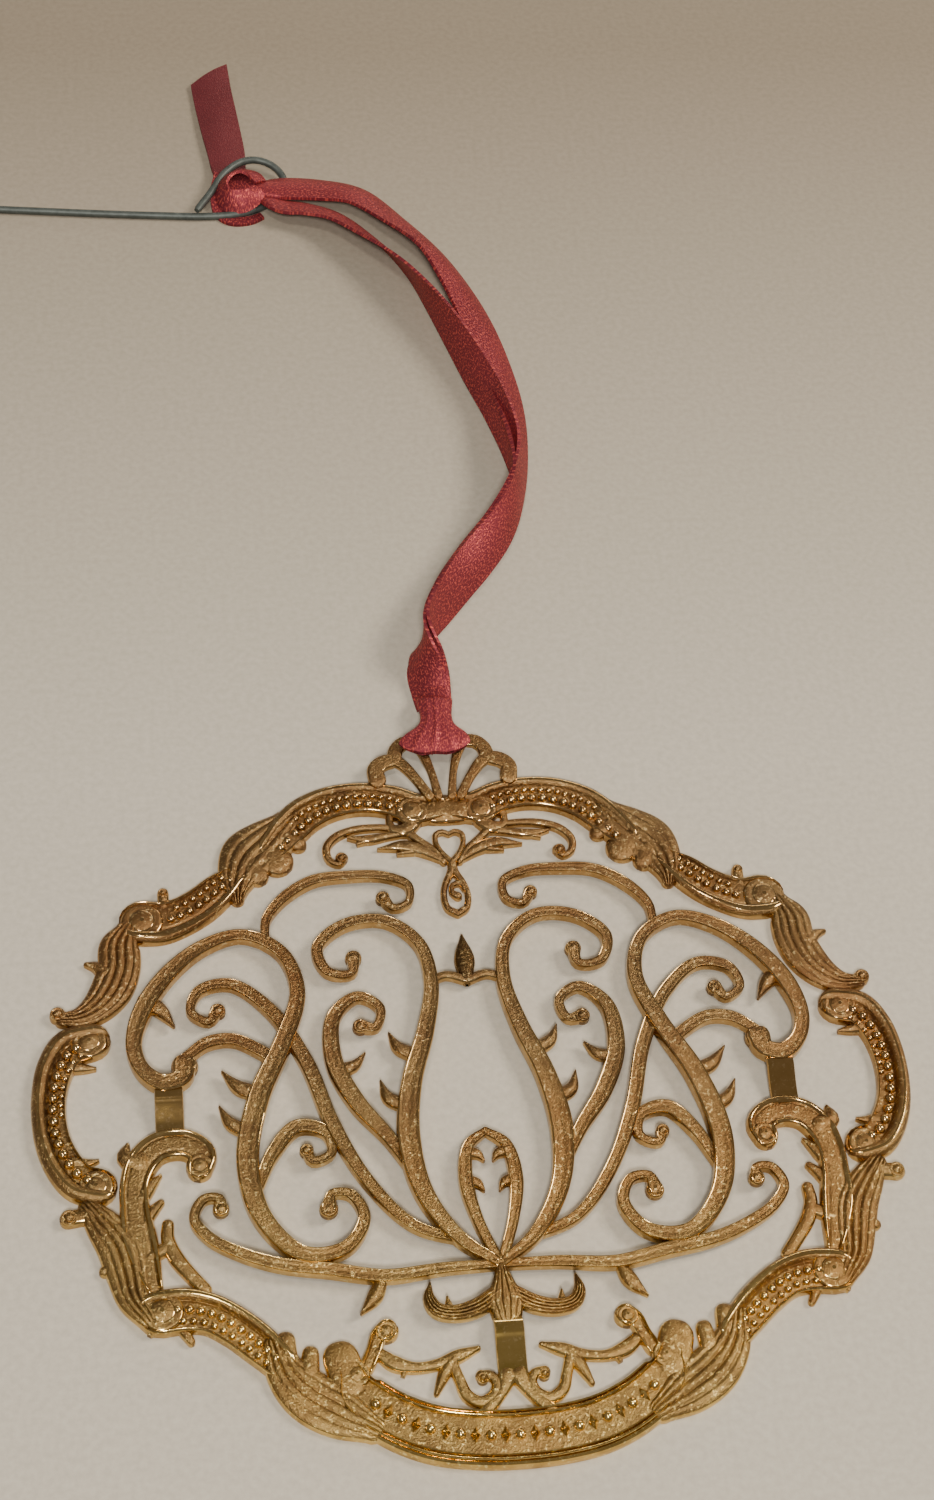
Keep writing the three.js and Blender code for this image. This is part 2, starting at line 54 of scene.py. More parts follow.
# The tables below are in millimetres, with y = 0 where the side scrolls are widest. The row frame's
# origin is at the middle of the metal's height instead, so every point shifts along Y by SHIFT_Y.
RIM_TOP_Y = 42.1
SHIFT_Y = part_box("frame_plate")[1].y / MM - RIM_TOP_Y

FRAME_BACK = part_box("frame_plate")[0].z / MM
CREST_BACK = 1.1
PANEL_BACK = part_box("scroll_panel")[0].z / MM
RIBBON_HALF_WIDTH = 2.4
RIBBON_THICKNESS = 0.28
WIRE_RADIUS = 0.44

FRAME_STROKES = {
    "top_scroll": [
        [1.2, 33.0, 1.5], [3.2, 33.0, 1.9], [5.4, 34.0, 1.85], [8.4, 34.5, 1.85],
        [11.5, 34.1, 1.95], [14.2, 32.8, 2.05], [16.0, 31.0, 2.0], [17.6, 29.0, 1.6],
    ],
    "hub": [[1.4, 32.8, 1.6], [0, 32.9, 1.75]],
    "hub_stem": [[5.4, 32.8, 0.7], [5.8, 31.8, 0.4], [5.6, 30.8, 0.5], [4.4, 30.5, 0.8], [3.4, 31.4, 0.8]],
    "shoulder_leaf": [
        [16.4, 31.8, 1.5], [18.2, 30.0, 2.5], [20.0, 28.2, 2.9], [21.0, 26.4, 2.3],
        [21.4, 24.6, 1.5], [21.4, 23.2, 0.7],
    ],
    "shoulder_lobe_top": [[16.6, 30.2, 0.9], [15.1, 29.3, 0.85]],
    "shoulder_lobe_middle": [[18.6, 28.6, 1.2], [17.3, 27.4, 1.65]],
    "shoulder_lobe_low": [[20.0, 27.0, 1.2], [19.3, 25.8, 1.1]],
    "upper_scroll": [
        [21.6, 25.6, 1.2], [23.0, 24.4, 1.75], [25.0, 22.6, 1.95], [27.0, 21.4, 2.05],
        [28.9, 20.8, 2.25], [30.6, 20.9, 2.4],
    ],
    "upper_bud": [[28.6, 22.6, 0.5], [28.6, 24.1, 0.58]],
    "side_leaf": [
        [32.2, 20.0, 1.2], [32.9, 18.4, 1.95], [33.0, 16.0, 2.05], [33.8, 13.6, 2.0],
        [35.2, 11.7, 1.6], [36.8, 10.7, 1.1], [38.4, 10.6, 0.7],
    ],
    "side_leaf_tip": [[34.2, 15.4, 0.9], [35.2, 16.3, 0.55], [36.1, 16.6, 0.25]],
    "side_knob": [[37.9, 10.6, 0.6], [38.8, 11.1, 0.78]],
    "side_scroll": [
        [35.8, 8.1, 1.9], [37.7, 7.6, 1.95], [39.0, 5.6, 1.8], [39.6, 3.0, 1.65], [39.65, 0.2, 1.6],
        [39.2, -2.4, 1.65], [38.2, -4.7, 1.75], [36.9, -6.3, 1.8], [35.4, -6.8, 1.8],
    ],
    "side_nib_upper": [[37.6, 5.6, 0.7], [36.4, 5.4, 0.45], [35.3, 5.3, 0.15]],
    "side_nib_lower": [[37.6, -4.2, 0.7], [36.4, -4.3, 0.45], [35.2, -4.1, 0.15]],
    "bracket_leaf": [
        [36.2, -8.8, 1.0], [35.0, -10.4, 1.6], [33.6, -12.6, 2.0], [32.9, -15.2, 1.9],
        [32.4, -17.6, 1.5], [31.2, -19.6, 1.0],
    ],
    "bracket_knob": [[36.0, -9.4, 0.9], [37.0, -9.6, 0.75], [38.0, -9.7, 0.8]],
    "bracket_nib": [[34.0, -14.4, 0.6], [34.9, -14.9, 0.5]],
    "inner_bracket": [
        [26.2, -5.5, 1.2], [26.0, -4.2, 1.4], [27.0, -3.2, 1.45], [28.5, -2.9, 1.5], [30.2, -3.4, 1.5],
        [31.5, -4.9, 1.5], [32.1, -7.0, 1.35], [32.1, -9.4, 1.4], [31.8, -12.0, 1.6],
        [31.2, -14.6, 1.3], [30.6, -16.8, 0.8],
    ],
    "bracket_tip": [[31.6, -4.6, 1.1], [32.9, -3.9, 0.8], [32.6, -2.6, 0.2]],
    "bracket_leaflet_upper": [[31.6, -8.4, 0.6], [30.9, -7.2, 0.65], [29.7, -5.9, 0.15]],
    "bracket_leaflet_lower": [[31.4, -10.9, 0.5], [30.7, -9.6, 0.55], [29.8, -8.6, 0.35]],
    "bracket_tendril": [
        [29.25, -10.8, 0.55], [29.3, -12.2, 0.62], [28.7, -13.9, 0.7], [27.6, -15.5, 0.65],
        [26.2, -17.2, 0.6],
    ],
    "tendril_link": [[31.0, -13.9, 0.6], [29.4, -13.0, 0.6]],
    "lower_scroll": [
        [30.1, -19.1, 2.15], [28.0, -19.0, 2.1], [25.8, -19.5, 1.9], [23.6, -20.9, 1.85],
        [21.7, -22.6, 1.8], [20.2, -24.2, 1.6],
    ],
    "lower_spur": [[30.6, -20.2, 0.9], [31.2, -21.1, 0.2]],
    "lower_bud": [[28.2, -20.9, 0.5], [27.6, -21.9, 0.36]],
    "corner_leaf": [
        [20.4, -22.8, 1.1], [19.6, -25.2, 1.8], [17.8, -27.4, 2.3], [15.2, -29.2, 2.2],
        [12.6, -30.8, 1.2],
    ],
    "corner_lobe_outer": [[19.4, -24.0, 0.9], [19.5, -22.4, 0.9]],
    "corner_lobe_middle": [[17.6, -25.4, 0.9], [17.4, -23.7, 0.75]],
    "corner_lobe_inner": [[14.2, -26.6, 1.6], [14.8, -24.3, 1.6]],
    "banner": [
        [14.0, -26.0, 1.3], [13.4, -27.8, 2.2], [10.8, -30.0, 2.45], [7.4, -31.6, 2.55],
        [3.8, -32.3, 2.58], [0, -32.5, 2.58],
    ],
    "banner_volute": [[12.6, -25.2, 0.7], [11.9, -23.8, 0.7], [11.4, -22.6, 0.8], [10.6, -22.1, 1.05]],
    "banner_arm": [
        [11.6, -24.0, 0.5], [10.2, -25.1, 0.7], [8.4, -25.6, 0.5], [6.4, -25.4, 0.5],
        [4.6, -24.8, 0.6], [2.8, -24.2, 0.25],
    ],
    "banner_arm_nib": [[9.2, -25.4, 0.4], [9.6, -26.3, 0.2]],
    "banner_leaflet": [[5.0, -25.0, 0.6], [5.9, -26.2, 0.6], [6.8, -28.0, 0.28]],
    "foot_spiral": [
        [5.2, -25.4, 0.5], [4.7, -27.0, 0.5], [4.2, -28.4, 0.55], [3.1, -29.1, 0.55],
        [2.0, -28.7, 0.55], [1.5, -27.7, 0.5], [1.9, -26.8, 0.45], [2.8, -26.7, 0.5],
    ],
    "foot_leg": [[0.5, -26.9, 0.9], [1.1, -28.2, 0.55], [2.1, -29.3, 0.6], [3.0, -30.2, 0.6]],
    "curl": [
        [5.6, 30.9, 0.35], [7.6, 31.0, 0.4], [9.6, 30.8, 0.42], [11.4, 30.0, 0.45],
        [12.35, 28.7, 0.42], [12.1, 27.3, 0.38], [11.2, 26.8, 0.35], [10.9, 27.5, 0.65],
    ],
    "sprig_upper": [[4.4, 30.2, 0.4], [6.2, 29.9, 0.4], [8.2, 29.6, 0.5], [10.2, 29.9, 0.15]],
    "sprig_upper_nib": [[7.6, 29.7, 0.4], [9.3, 29.1, 0.2]],
    "sprig_lower": [[1.0, 26.8, 0.3], [2.6, 27.9, 0.6], [4.6, 28.6, 0.65], [7.3, 28.4, 0.12]],
    "sprig_lower_nib": [[3.4, 28.1, 0.5], [5.4, 27.7, 0.15]],
    "sprig_arm": [[4.2, 30.4, 0.5], [3.2, 29.4, 0.42], [1.9, 28.2, 0.4], [0.8, 26.6, 0.35]],
    "heart": [
        [0.0, 29.9, 0.25], [0.6, 30.2, 0.28], [1.3, 29.9, 0.3], [1.4, 29.1, 0.28],
        [1.0, 27.9, 0.28], [0.0, 26.4, 0.4],
    ],
    "pendant": [
        [0.0, 26.6, 0.45], [0.2, 25.4, 0.4], [0.9, 24.0, 0.33], [1.2, 22.6, 0.33],
        [0.9, 21.1, 0.35], [0.0, 20.5, 0.4],
    ],
}

PENDANT_CURL = [
    [1.0, 23.3, 0.3], [0.5, 24.0, 0.28], [-0.2, 23.8, 0.28], [-0.35, 23.0, 0.3], [0.2, 22.5, 0.42],
]

CREST_STROKES = {
    "rim": [
        [6.7, 36.1, 0.9], [6.8, 37.4, 0.85], [6.0, 38.2, 0.85], [4.9, 38.6, 0.8], [4.5, 39.8, 0.75],
        [3.7, 40.6, 0.75], [2.6, 40.8, 0.7], [1.6, 41.4, 0.6], [0, 41.5, 0.6],
    ],
    "rib_inner": [[0.7, 34.0, 0.45], [1.1, 36.8, 0.4], [1.7, 39.0, 0.5], [2.4, 40.7, 0.6]],
    "rib_outer": [[1.6, 34.0, 0.5], [2.8, 36.2, 0.5], [3.9, 37.8, 0.6], [4.9, 38.7, 0.7]],
}

PANEL_STROKES = {
    "lyre": [
        [0.3, -16.6, 0.5], [3.4, -14.2, 0.75], [6.2, -9.6, 1], [7.1, -3.8, 1.2], [6.3, 1.8, 1.1],
        [4.5, 7.2, 0.95], [3.5, 12.4, 0.8], [4.3, 16.8, 0.7], [7.4, 19.5, 0.65], [11.4, 19.2, 0.65],
        [14.1, 16.7, 0.65], [13.2, 14, 0.55], [11, 13.8, 0.5], [10.7, 15.6, 0.75],
    ],
    "long_scroll": [
        [14.9, -10.4, 0.8], [14.5, -9.1, 0.5], [12.8, -9.3, 0.55], [11.8, -11.6, 0.65], [13.6, -14.4, 0.75],
        [17.4, -14.8, 0.85], [20.8, -11.2, 1], [21.9, -5.6, 1.15], [20.6, 0.8, 1.15], [17.9, 6.8, 1],
        [16.3, 12, 0.85], [17.6, 16.4, 0.75], [21.2, 18.5, 0.7], [25, 17.4, 0.8], [28.6, 14.3, 0.95],
        [31, 10.4, 1], [31.8, 6.9, 0.85], [31, 4.3, 0.85], [29.2, 2.9, 1], [27.5, 3.4, 1.05],
        [27.2, 4.7, 1.25],
    ],
    "crown": [
        [7.3, 22.2, 0.65], [6.4, 21, 0.45], [4.9, 21.5, 0.45], [4.7, 23.5, 0.5], [7, 24.7, 0.55],
        [10.4, 24.9, 0.6], [14, 24.5, 0.65], [17, 22.6, 0.65], [18.8, 20.2, 0.55], [19, 17.8, 0.45],
    ],
    "fern": [
        [6.8, -7.8, 0.5], [8.8, -4, 0.75], [11.6, 0, 0.95], [13.4, 4.6, 0.95], [13, 9.2, 0.8],
        [10.6, 11.2, 0.6], [8.6, 9.8, 0.55], [9.2, 7.8, 0.5], [10.6, 8, 0.7],
    ],
    "sprout": [
        [21.2, -8.4, 0.5], [19.6, -4.8, 0.75], [17.2, -2.2, 0.8], [14.6, -2.9, 0.65], [14.3, -5, 0.5],
        [16, -5.7, 0.5], [16.5, -4.5, 0.6],
    ],
    "vine": [
        [2.8, -14.4, 0.5], [7.4, -12.6, 0.6], [11.2, -8, 0.7], [14, -2, 0.8], [16, 4.6, 0.8],
        [19, 10.2, 0.75], [22.6, 13.2, 0.65], [25.6, 12.6, 0.6], [26.4, 10.4, 0.5], [24.8, 9.3, 0.5],
        [23.9, 10.5, 0.7],
    ],
    "base_scroll": [
        [0.4, -16.8, 0.5], [5.2, -16.9, 0.6], [10.4, -17.3, 0.7], [15.2, -16.4, 0.75], [19.6, -15.6, 0.7],
        [23, -14.3, 0.65], [25.7, -12.6, 0.6], [26.9, -10.7, 0.55], [26, -8.9, 0.5], [24.6, -8.9, 0.5],
        [24.5, -10, 0.7],
    ],
    "base_bud": [[10.6, -17.4, 0.5], [11.4, -19, 0.8], [12.8, -20.6, 0.12]],
    "volute_link": [[27, 5.6, 0.6], [25, 7, 0.7], [22.6, 7.2, 0.7], [20.2, 5.9, 0.7], [18.6, 4.6, 0.7]],
    "yoke": [[0, 12.6, 0.55], [2, 13.2, 0.5], [3.6, 12.6, 0.5]],
    "finial": [[0, 12.6, 0.6], [0, 14.9, 1.1], [0, 17.6, 0.15]],
    "outer_nib": [[30.6, 12, 0.9], [29.2, 10.8, 0.8], [28, 9, 0.12]],
    "scroll_leaf_upper": [[20.4, 1.6, 0.8], [22.2, 2.2, 0.8], [23.8, 4, 0.12]],
    "scroll_leaf_lower": [[21.4, -2.4, 0.8], [23.2, -1.4, 0.7], [24.2, 0.4, 0.12]],
    "lyre_leaf": [[5.4, 4.6, 0.8], [7.2, 5.6, 0.7], [8, 7.2, 0.12]],
    "fern_leaf": [[13.2, 3.6, 0.7], [11.6, 3.9, 0.65], [10.4, 5.2, 0.12]],
    "lyre_leaf_low": [[6.8, -0.6, 0.8], [8.6, 0.4, 0.7], [9.2, 2.2, 0.12]],
    "stem_oval": [[0, -16.8, 0.5], [1.6, -12.5, 0.6], [2.3, -8.4, 0.75], [1.7, -5, 0.6], [0, -3.6, 0.4]],
    "stem_nib_upper": [[1.9, -5.6, 0.6], [0.9, -5.9, 0.5], [0.4, -6.6, 0.1]],
    "stem_nib_lower": [[2.2, -8.4, 0.6], [1.2, -8.8, 0.5], [0.7, -9.6, 0.1]],
    "palmette": [[0, -16.9, 0.5], [0, -18.4, 1.1], [0, -20.3, 2], [0, -21.2, 1.6]],
    "palmette_arm": [
        [0.8, -19.6, 0.9], [2.6, -20.7, 0.95], [4.6, -21.1, 0.85], [6.1, -20.7, 0.8], [6.7, -19.6, 0.65],
        [6.5, -18.1, 0.1],
    ],
    "palmette_nib": [[5, -20.8, 0.6], [5.1, -19.5, 0.12]],
}

LOWER_STRAND_ROUTE = [
    [0.0, 45.6, 0.6], [-0.1, 48.5, 0.6], [-0.2, 52.0, 0.6], [0.5, 56.0, 0.6], [2.8, 60.5, 0.6],
    [6.0, 65.5, 0.6], [9.2, 70.5, 0.6], [11.6, 76.0, 0.6], [12.1, 82.0, 0.6], [11.0, 88.5, 0.6],
    [9.2, 94.5, 0.6], [7.2, 100.5, 0.6], [4.8, 106.5, 0.6], [2.2, 111.8, 0.6], [-1.2, 116.4, 0.7],
    [-5.0, 120.0, 1.0],
]

UPPER_STRAND_ROUTE = [
    [0.1, 45.6, 1.5], [0.1, 48.5, 1.5], [0.1, 52.0, 1.5], [0.8, 56.0, 1.5], [3.2, 60.3, 1.5],
    [6.5, 65.2, 1.5], [9.8, 70.2, 1.5], [12.1, 75.9, 1.5], [12.7, 82.0, 1.5], [12.4, 88.8, 1.5],
    [11.5, 95.2, 1.5], [10.2, 101.6, 1.5], [8.3, 108.0, 1.5], [5.8, 113.9, 1.5], [1.9, 119.0, 1.5],
    [-2.2, 123.0, 1.8],
]

TAIL_ROUTE = [
    [-17.2, 126.6, 1.0], [-17.3, 129.3, 0.6], [-17.5, 132.5, 0.6], [-17.9, 136.0, 0.6],
    [-18.35, 140.0, 0.6], [-18.75, 144.0, 0.6], [-18.95, 147.1, 0.6],
]

# The eye rises over the tail and closes on the shank, which ends in an open crook
HOOK_ROUTE = [
    [-21.5, 121.1, 1.3], [-19.7, 124.1, 1.45], [-17.9, 127.3, 1.7], [-15.9, 129.2, 1.75],
    [-13.9, 129.8, 1.6], [-12.1, 129.3, 1.25], [-10.9, 128.0, 0.85], [-10.6, 126.3, 0.5],
    [-11.5, 124.9, 0.45], [-13.4, 122.7, 0.45], [-16.4, 121.4, 0.45], [-20.5, 121.0, 0.45],
    [-26.0, 121.2, 0.45], [-33.0, 121.6, 0.45], [-40.0, 122.1, 0.45], [-48.0, 122.7, 0.45],
    [-56.0, 123.4, 0.45], [-63.0, 124.2, 0.45], [-68.4, 125.8, 0.45], [-72.4, 129.0, 0.45],
    [-73.7, 133.6, 0.45], [-71.8, 138.0, 0.45], [-67.4, 140.2, 0.45], [-62.6, 139.0, 0.45],
    [-60.2, 135.4, 0.45],
]


def to_row(points):
    """Points of the tables, as metres in the row frame."""
    row = np.array(points, float).reshape(-1, 3)
    return (row + [0, SHIFT_Y, 0]) * MM


# ---------------------------------------------------------------- camera

CAMERA_TARGET = (3.02, 40.51, 0)
CAMERA_DISTANCE = 252.4
CAMERA_ELEVATION = math.radians(53.47)
CAMERA_YAW = math.radians(-12.47)
CAMERA_ROLL = math.radians(8.07)
CAMERA_LENS = 58.8
SENSOR_HEIGHT = 36


def add_camera():
    data = bpy.data.cameras.new("camera")
    data.sensor_fit = "VERTICAL"
    data.sensor_height = SENSOR_HEIGHT
    data.lens = CAMERA_LENS
    data.clip_start = 0.01
    camera = bpy.data.objects.new("camera", data)
    bpy.context.scene.collection.objects.link(camera)
    back = Vector((
        math.sin(CAMERA_YAW) * math.cos(CAMERA_ELEVATION),
        -math.cos(CAMERA_YAW) * math.cos(CAMERA_ELEVATION),
        math.sin(CAMERA_ELEVATION),
    ))
    level_x = Vector((0, 0, 1)).cross(back).normalized()
    level_y = back.cross(level_x)
    cos_roll, sin_roll = math.cos(CAMERA_ROLL), math.sin(CAMERA_ROLL)
    x_axis = cos_roll * level_x + sin_roll * level_y
    y_axis = cos_roll * level_y - sin_roll * level_x
    place = Vector(to_row(CAMERA_TARGET)[0]) + back * CAMERA_DISTANCE * MM
    camera.matrix_world = Matrix((
        (x_axis.x, y_axis.x, back.x, place.x),
        (x_axis.y, y_axis.y, back.y, place.y),
        (x_axis.z, y_axis.z, back.z, place.z),
        (0, 0, 0, 1),
    ))
    bpy.context.scene.camera = camera


# ---------------------------------------------------------------- curves and meshes


def smooth_curve(control, step):
    """Points about step apart on the centripetal Catmull-Rom curve through the control points."""
    p = np.array(control, float)
    p = np.vstack([2 * p[0] - p[1], p, 2 * p[-1] - p[-2]])
    spans = []
    for i in range(1, len(p) - 2):
        q = p[i - 1:i + 3]
        gaps = np.sqrt(np.linalg.norm(np.diff(q, axis=0), axis=1))
        k = np.concatenate([[0], np.cumsum(gaps)])
        count = max(2, math.ceil(np.linalg.norm(q[2] - q[1]) / step))
        t = np.linspace(k[1], k[2], count, endpoint=False)[:, None]
        a = [((k[j + 1] - t) * q[j] + (t - k[j]) * q[j + 1]) / (k[j + 1] - k[j]) for j in range(3)]
        b = [((k[j + 2] - t) * a[j] + (t - k[j]) * a[j + 1]) / (k[j + 2] - k[j]) for j in range(2)]
        spans.append(((k[2] - t) * b[0] + (t - k[1]) * b[1]) / (k[2] - k[1]))
    return np.vstack(spans + [p[-2:-1]])


def unit(vectors):
    return vectors / np.linalg.norm(vectors, axis=-1, keepdims=True)


def tangents(points):
    return unit(np.gradient(points, axis=0))


def ring_faces(rings, around, slots=None):
    """Quads between successive rings of vertices, and a face over each end."""
    faces = []
    face_slots = []
    for i in range(rings - 1):
        for j in range(around):
            k = (j + 1) % around
            faces.append((i * around + j, i * around + k, (i + 1) * around + k, (i + 1) * around + j))
            face_slots.append(slots[j] if slots is not None else 0)
    faces.append(tuple(range(around))[::-1])
    faces.append(tuple((rings - 1) * around + j for j in range(around)))
    face_slots += [0, 0]
    return faces, face_slots


class Piece:
    """Closed shells, in the tables' millimetres, gathered into one mesh object."""

    def __init__(self):
        self.vertices = []
        self.faces = []
        self.slots = []
        self.count = 0

    def add(self, vertices, faces, slots=None, flip=False):
        self.vertices.append(np.array(vertices, float))
        for face in faces:
            shifted = tuple(self.count + v for v in face)
            self.faces.append(shifted[::-1] if flip else shifted)
        self.slots += list(slots) if slots is not None else [0] * len(faces)
        self.count += len(vertices)

    def add_rings(self, rings, flip=False):
        """Closed tube through successive rings of points."""
        faces, slots = ring_faces(len(rings), rings.shape[1])
        self.add(rings.reshape(-1, 3), faces, slots, flip)

    def add_mirrored(self, vertices, faces, slots=None):
        self.add(vertices, faces, slots)
        self.add(np.array(vertices) * [-1, 1, 1], faces, slots, flip=True)

    def build(self, name, materials, sharp_angle=50):
        mesh = bpy.data.meshes.new(name)
        mesh.from_pydata(to_row(np.vstack(self.vertices)), [], self.faces)
        for material in materials:
            mesh.materials.append(material)
        mesh.polygons.foreach_set("material_index", self.slots)
        mesh.polygons.foreach_set("use_smooth", [True] * len(self.faces))
        mesh.validate()
        mesh.set_sharp_from_angle(angle=math.radians(sharp_angle))
        obj = bpy.data.objects.new(name, mesh)
        bpy.context.scene.collection.objects.link(obj)
        return obj


# ---------------------------------------------------------------- relief sections

FROSTED = 0
POLISHED = 1


class Section:
    """Heights across a stroke, from u = -1 on its right side to u = 1 on its left.

    A rail is (u, half-width, height), a groove is (u, half-width, depth), and polished is a list of
    ranges of u that are burnished smooth."""

    def __init__(self, edge, crown, power=2, rails=(), grooves=(), polished=((-1, 1),), samples=9):
        inner = np.linspace(-0.88, 0.88, samples)
        self.u = np.concatenate([[-1, -0.98, -0.94], inner, [0.94, 0.98, 1]])
        self.edge = edge
        self.crown = crown
        self.power = power
        self.rails = rails
        self.grooves = grooves
        middles = (self.u[1:] + self.u[:-1]) / 2
        shiny = [any(low <= m <= high for low, high in polished) for m in middles]
        self.slots = [POLISHED] + [POLISHED if s else FROSTED for s in shiny] + [POLISHED, FROSTED]

    def height(self, u):
        u = np.asarray(u, float)
        h = self.edge + (self.crown - self.edge) * np.sqrt(np.maximum(0, 1 - np.abs(u) ** self.power))
        for centre, half, rise in self.rails:
            h = h + rise * np.sqrt(np.maximum(0, 1 - ((u - centre) / half) ** 2))
        for centre, half, depth in self.grooves:
            h = h - depth * np.exp(-((u - centre) / half) ** 2)
        return h


ROUND = Section(0.55, 1.05, samples=9, polished=((-1, -0.72), (0.72, 1)))
BLADE = Section(0.4, 1.1, power=1.5, samples=9, polished=((-1, -0.8), (0.8, 1)))
RAILED = Section(
    0.5, 0.82, power=6, samples=25,
    rails=((-0.8, 0.18, 0.3), (0.8, 0.18, 0.3)), grooves=((-0.5, 0.08, 0.08), (0.5, 0.08, 0.08)),
    polished=((-1, -0.62), (0.62, 1)),
)
BROAD_SCROLL = Section(
    0.45, 0.72, power=8, samples=37,
    rails=((0.66, 0.3, 0.6), (-0.9, 0.09, 0.42)),
    grooves=((0.3, 0.06, 0.12),),
    polished=((-1, -0.8), (0.6, 0.8)),
)
SIDE_SCROLL = Section(
    0.45, 0.7, power=8, samples=37,
    rails=((0.56, 0.4, 0.62), (-0.92, 0.08, 0.35)),
    grooves=((0.1, 0.05, 0.12),),
    polished=((-1, -0.82), (0.5, 0.64), (0.94, 1)),
)
LOW_SCROLL = Section(
    0.45, 0.72, power=8, samples=37,
    rails=((-0.7, 0.26, 0.5), (0.9, 0.1, 0.4)),
    grooves=((-0.38, 0.05, 0.12),),
    polished=((-0.84, -0.6), (0.82, 1), (-1, -0.96)),
)
LEAF = Section(
    0.42, 1.12, power=3, samples=37,
    grooves=((-0.62, 0.07, 0.16), (-0.25, 0.07, 0.22), (0.14, 0.07, 0.22), (0.52, 0.07, 0.16)),
    polished=((-1, -0.92), (0.92, 1)),
)
LOBE = Section(0.42, 1.05, power=2.6, samples=15, polished=((-1, -0.88), (0.88, 1)))
BANNER = Section(
    0.45, 0.7, power=10, samples=45,
    rails=(
        (-0.92, 0.07, 0.36), (-0.76, 0.08, 0.42), (0.58, 0.05, 0.26), (0.72, 0.08, 0.42), (0.92, 0.07, 0.3),
    ),
    polished=((-1, -0.68), (0.54, 1)),
)
CREST = Section(0.35, 0.62, power=8, samples=9, polished=((-1, -0.9), (0.9, 1)))
CHANNEL = Section(
    0.72, 0.95, power=6, samples=17,
    rails=((-0.86, 0.13, 0.15), (0.86, 0.13, 0.15)), grooves=((0, 0.3, 0.06),),
    polished=((-1, -0.74), (0.74, 1)),
)

FRAME_SECTIONS = {
    "top_scroll": BROAD_SCROLL, "upper_scroll": LOW_SCROLL, "side_scroll": SIDE_SCROLL,
    "lower_scroll": LOW_SCROLL, "banner": BANNER, "inner_bracket": RAILED, "banner_volute": RAILED,
    "shoulder_leaf": LEAF, "side_leaf": LEAF, "bracket_leaf": LEAF, "corner_leaf": LEAF,
    "shoulder_lobe_top": LOBE, "shoulder_lobe_middle": LOBE, "shoulder_lobe_low": LOBE,
    "corner_lobe_outer": LOBE, "corner_lobe_middle": LOBE, "corner_lobe_inner": LOBE,
    "bracket_tip": BLADE, "banner_leaflet": BLADE, "side_leaf_tip": BLADE, "hub": LOBE,
}
STATION_STEP = 0.4
THIN_STROKE = 0.9
END_ANGLES = np.radians([22, 42, 60, 76])
POINTED_END = 0.2


def stroke_stations(points):
    """Centres, directions, half-widths and end factors along a stroke, with rounded ends added."""
    curve = smooth_curve(points, STATION_STEP)
    centres = curve[:, :2]
    half_widths = np.maximum(curve[:, 2], 0.03)
    directions = tangents(centres)
    fullness = np.ones(len(curve))
    for end, sign in ((0, -1), (-1, 1)):
        centre, direction, half = centres[end], directions[end], half_widths[end]
        if half <= POINTED_END:
            continue
        reach = centre + sign * direction * half * np.sin(END_ANGLES)[:, None]
        narrow = half * np.cos(END_ANGLES)
        turned = np.repeat(direction[None], len(END_ANGLES), axis=0)
        full = np.cos(END_ANGLES) ** 0.7
        added = (reach, narrow, turned, full)
        known = (centres, half_widths, directions, fullness)
        if sign > 0:
            joined = [np.concatenate([old, new]) for old, new in zip(known, added)]
        else:
            joined = [np.concatenate([new[::-1], old]) for old, new in zip(known, added)]
        centres, half_widths, directions, fullness = joined
    return centres, directions, half_widths, fullness


def relief_band(points, section, back, lift=0):
    """Closed shell of a stroke: a flat back, low sides, and the section's relief on its front."""
    centres, directions, half_widths, fullness = stroke_stations(points)
    normals = np.stack([-directions[:, 1], directions[:, 0]], axis=1)
    u = section.u
    top = section.height(u)
    slim = np.clip(0.5 + 0.5 * half_widths / THIN_STROKE, 0.6, 1)
    rise = section.edge + (top[None] - section.edge) * fullness[:, None]
    z = back + (rise + lift) * slim[:, None]
    across = centres[:, None] + normals[:, None] * (half_widths[:, None] * u)[..., None]
    count = len(centres)
    ring = len(u) + 2
    vertices = np.zeros((count, ring, 3))
    vertices[:, 1:-1, :2] = across
    vertices[:, 1:-1, 2] = z
    vertices[:, 0, :2] = across[:, 0]
    vertices[:, -1, :2] = across[:, -1]
    vertices[:, [0, -1], 2] = back
    faces, slots = ring_faces(count, ring, section.slots)
    return vertices.reshape(-1, 3), faces, slots


def lathe(x, y, back, profile, around=20):
    """Closed turned shape standing on the plane z = back. The profile is (radius, height) pairs."""
    angles = np.linspace(0, 2 * math.pi, around, endpoint=False)
    rings = [
        np.stack([x + r * np.cos(angles), y + r * np.sin(angles), np.full(around, back + h)], axis=1)
        for r, h in profile
    ]
    return np.vstack(rings), *ring_faces(len(profile), around)


# Turned profile of a scroll's eye: share of the radius, height, and finish of the ring inside it
VOLUTE = (
    (1, 0, FROSTED), (1, 0.62, POLISHED), (0.95, 0.84, POLISHED), (0.88, 0.94, FROSTED),
    (0.78, 0.98, FROSTED), (0.66, 0.94, FROSTED), (0.58, 0.92, POLISHED), (0.52, 1.0, FROSTED),
    (0.38, 1.1, FROSTED), (0.24, 1.16, FROSTED), (0.1, 1.2, POLISHED), (0.02, 1.21, POLISHED),
)
VOLUTE_SIDES = 28


def volute(x, y, radius, back, height=1.0):
    profile = [(radius * r, height * h) for r, h, _ in VOLUTE]
    vertices, faces, _ = lathe(x, y, back, profile, around=VOLUTE_SIDES)
    slots = [finish for *_, finish in VOLUTE[:-1] for _ in range(VOLUTE_SIDES)]
    return vertices, faces, slots + [FROSTED, POLISHED]


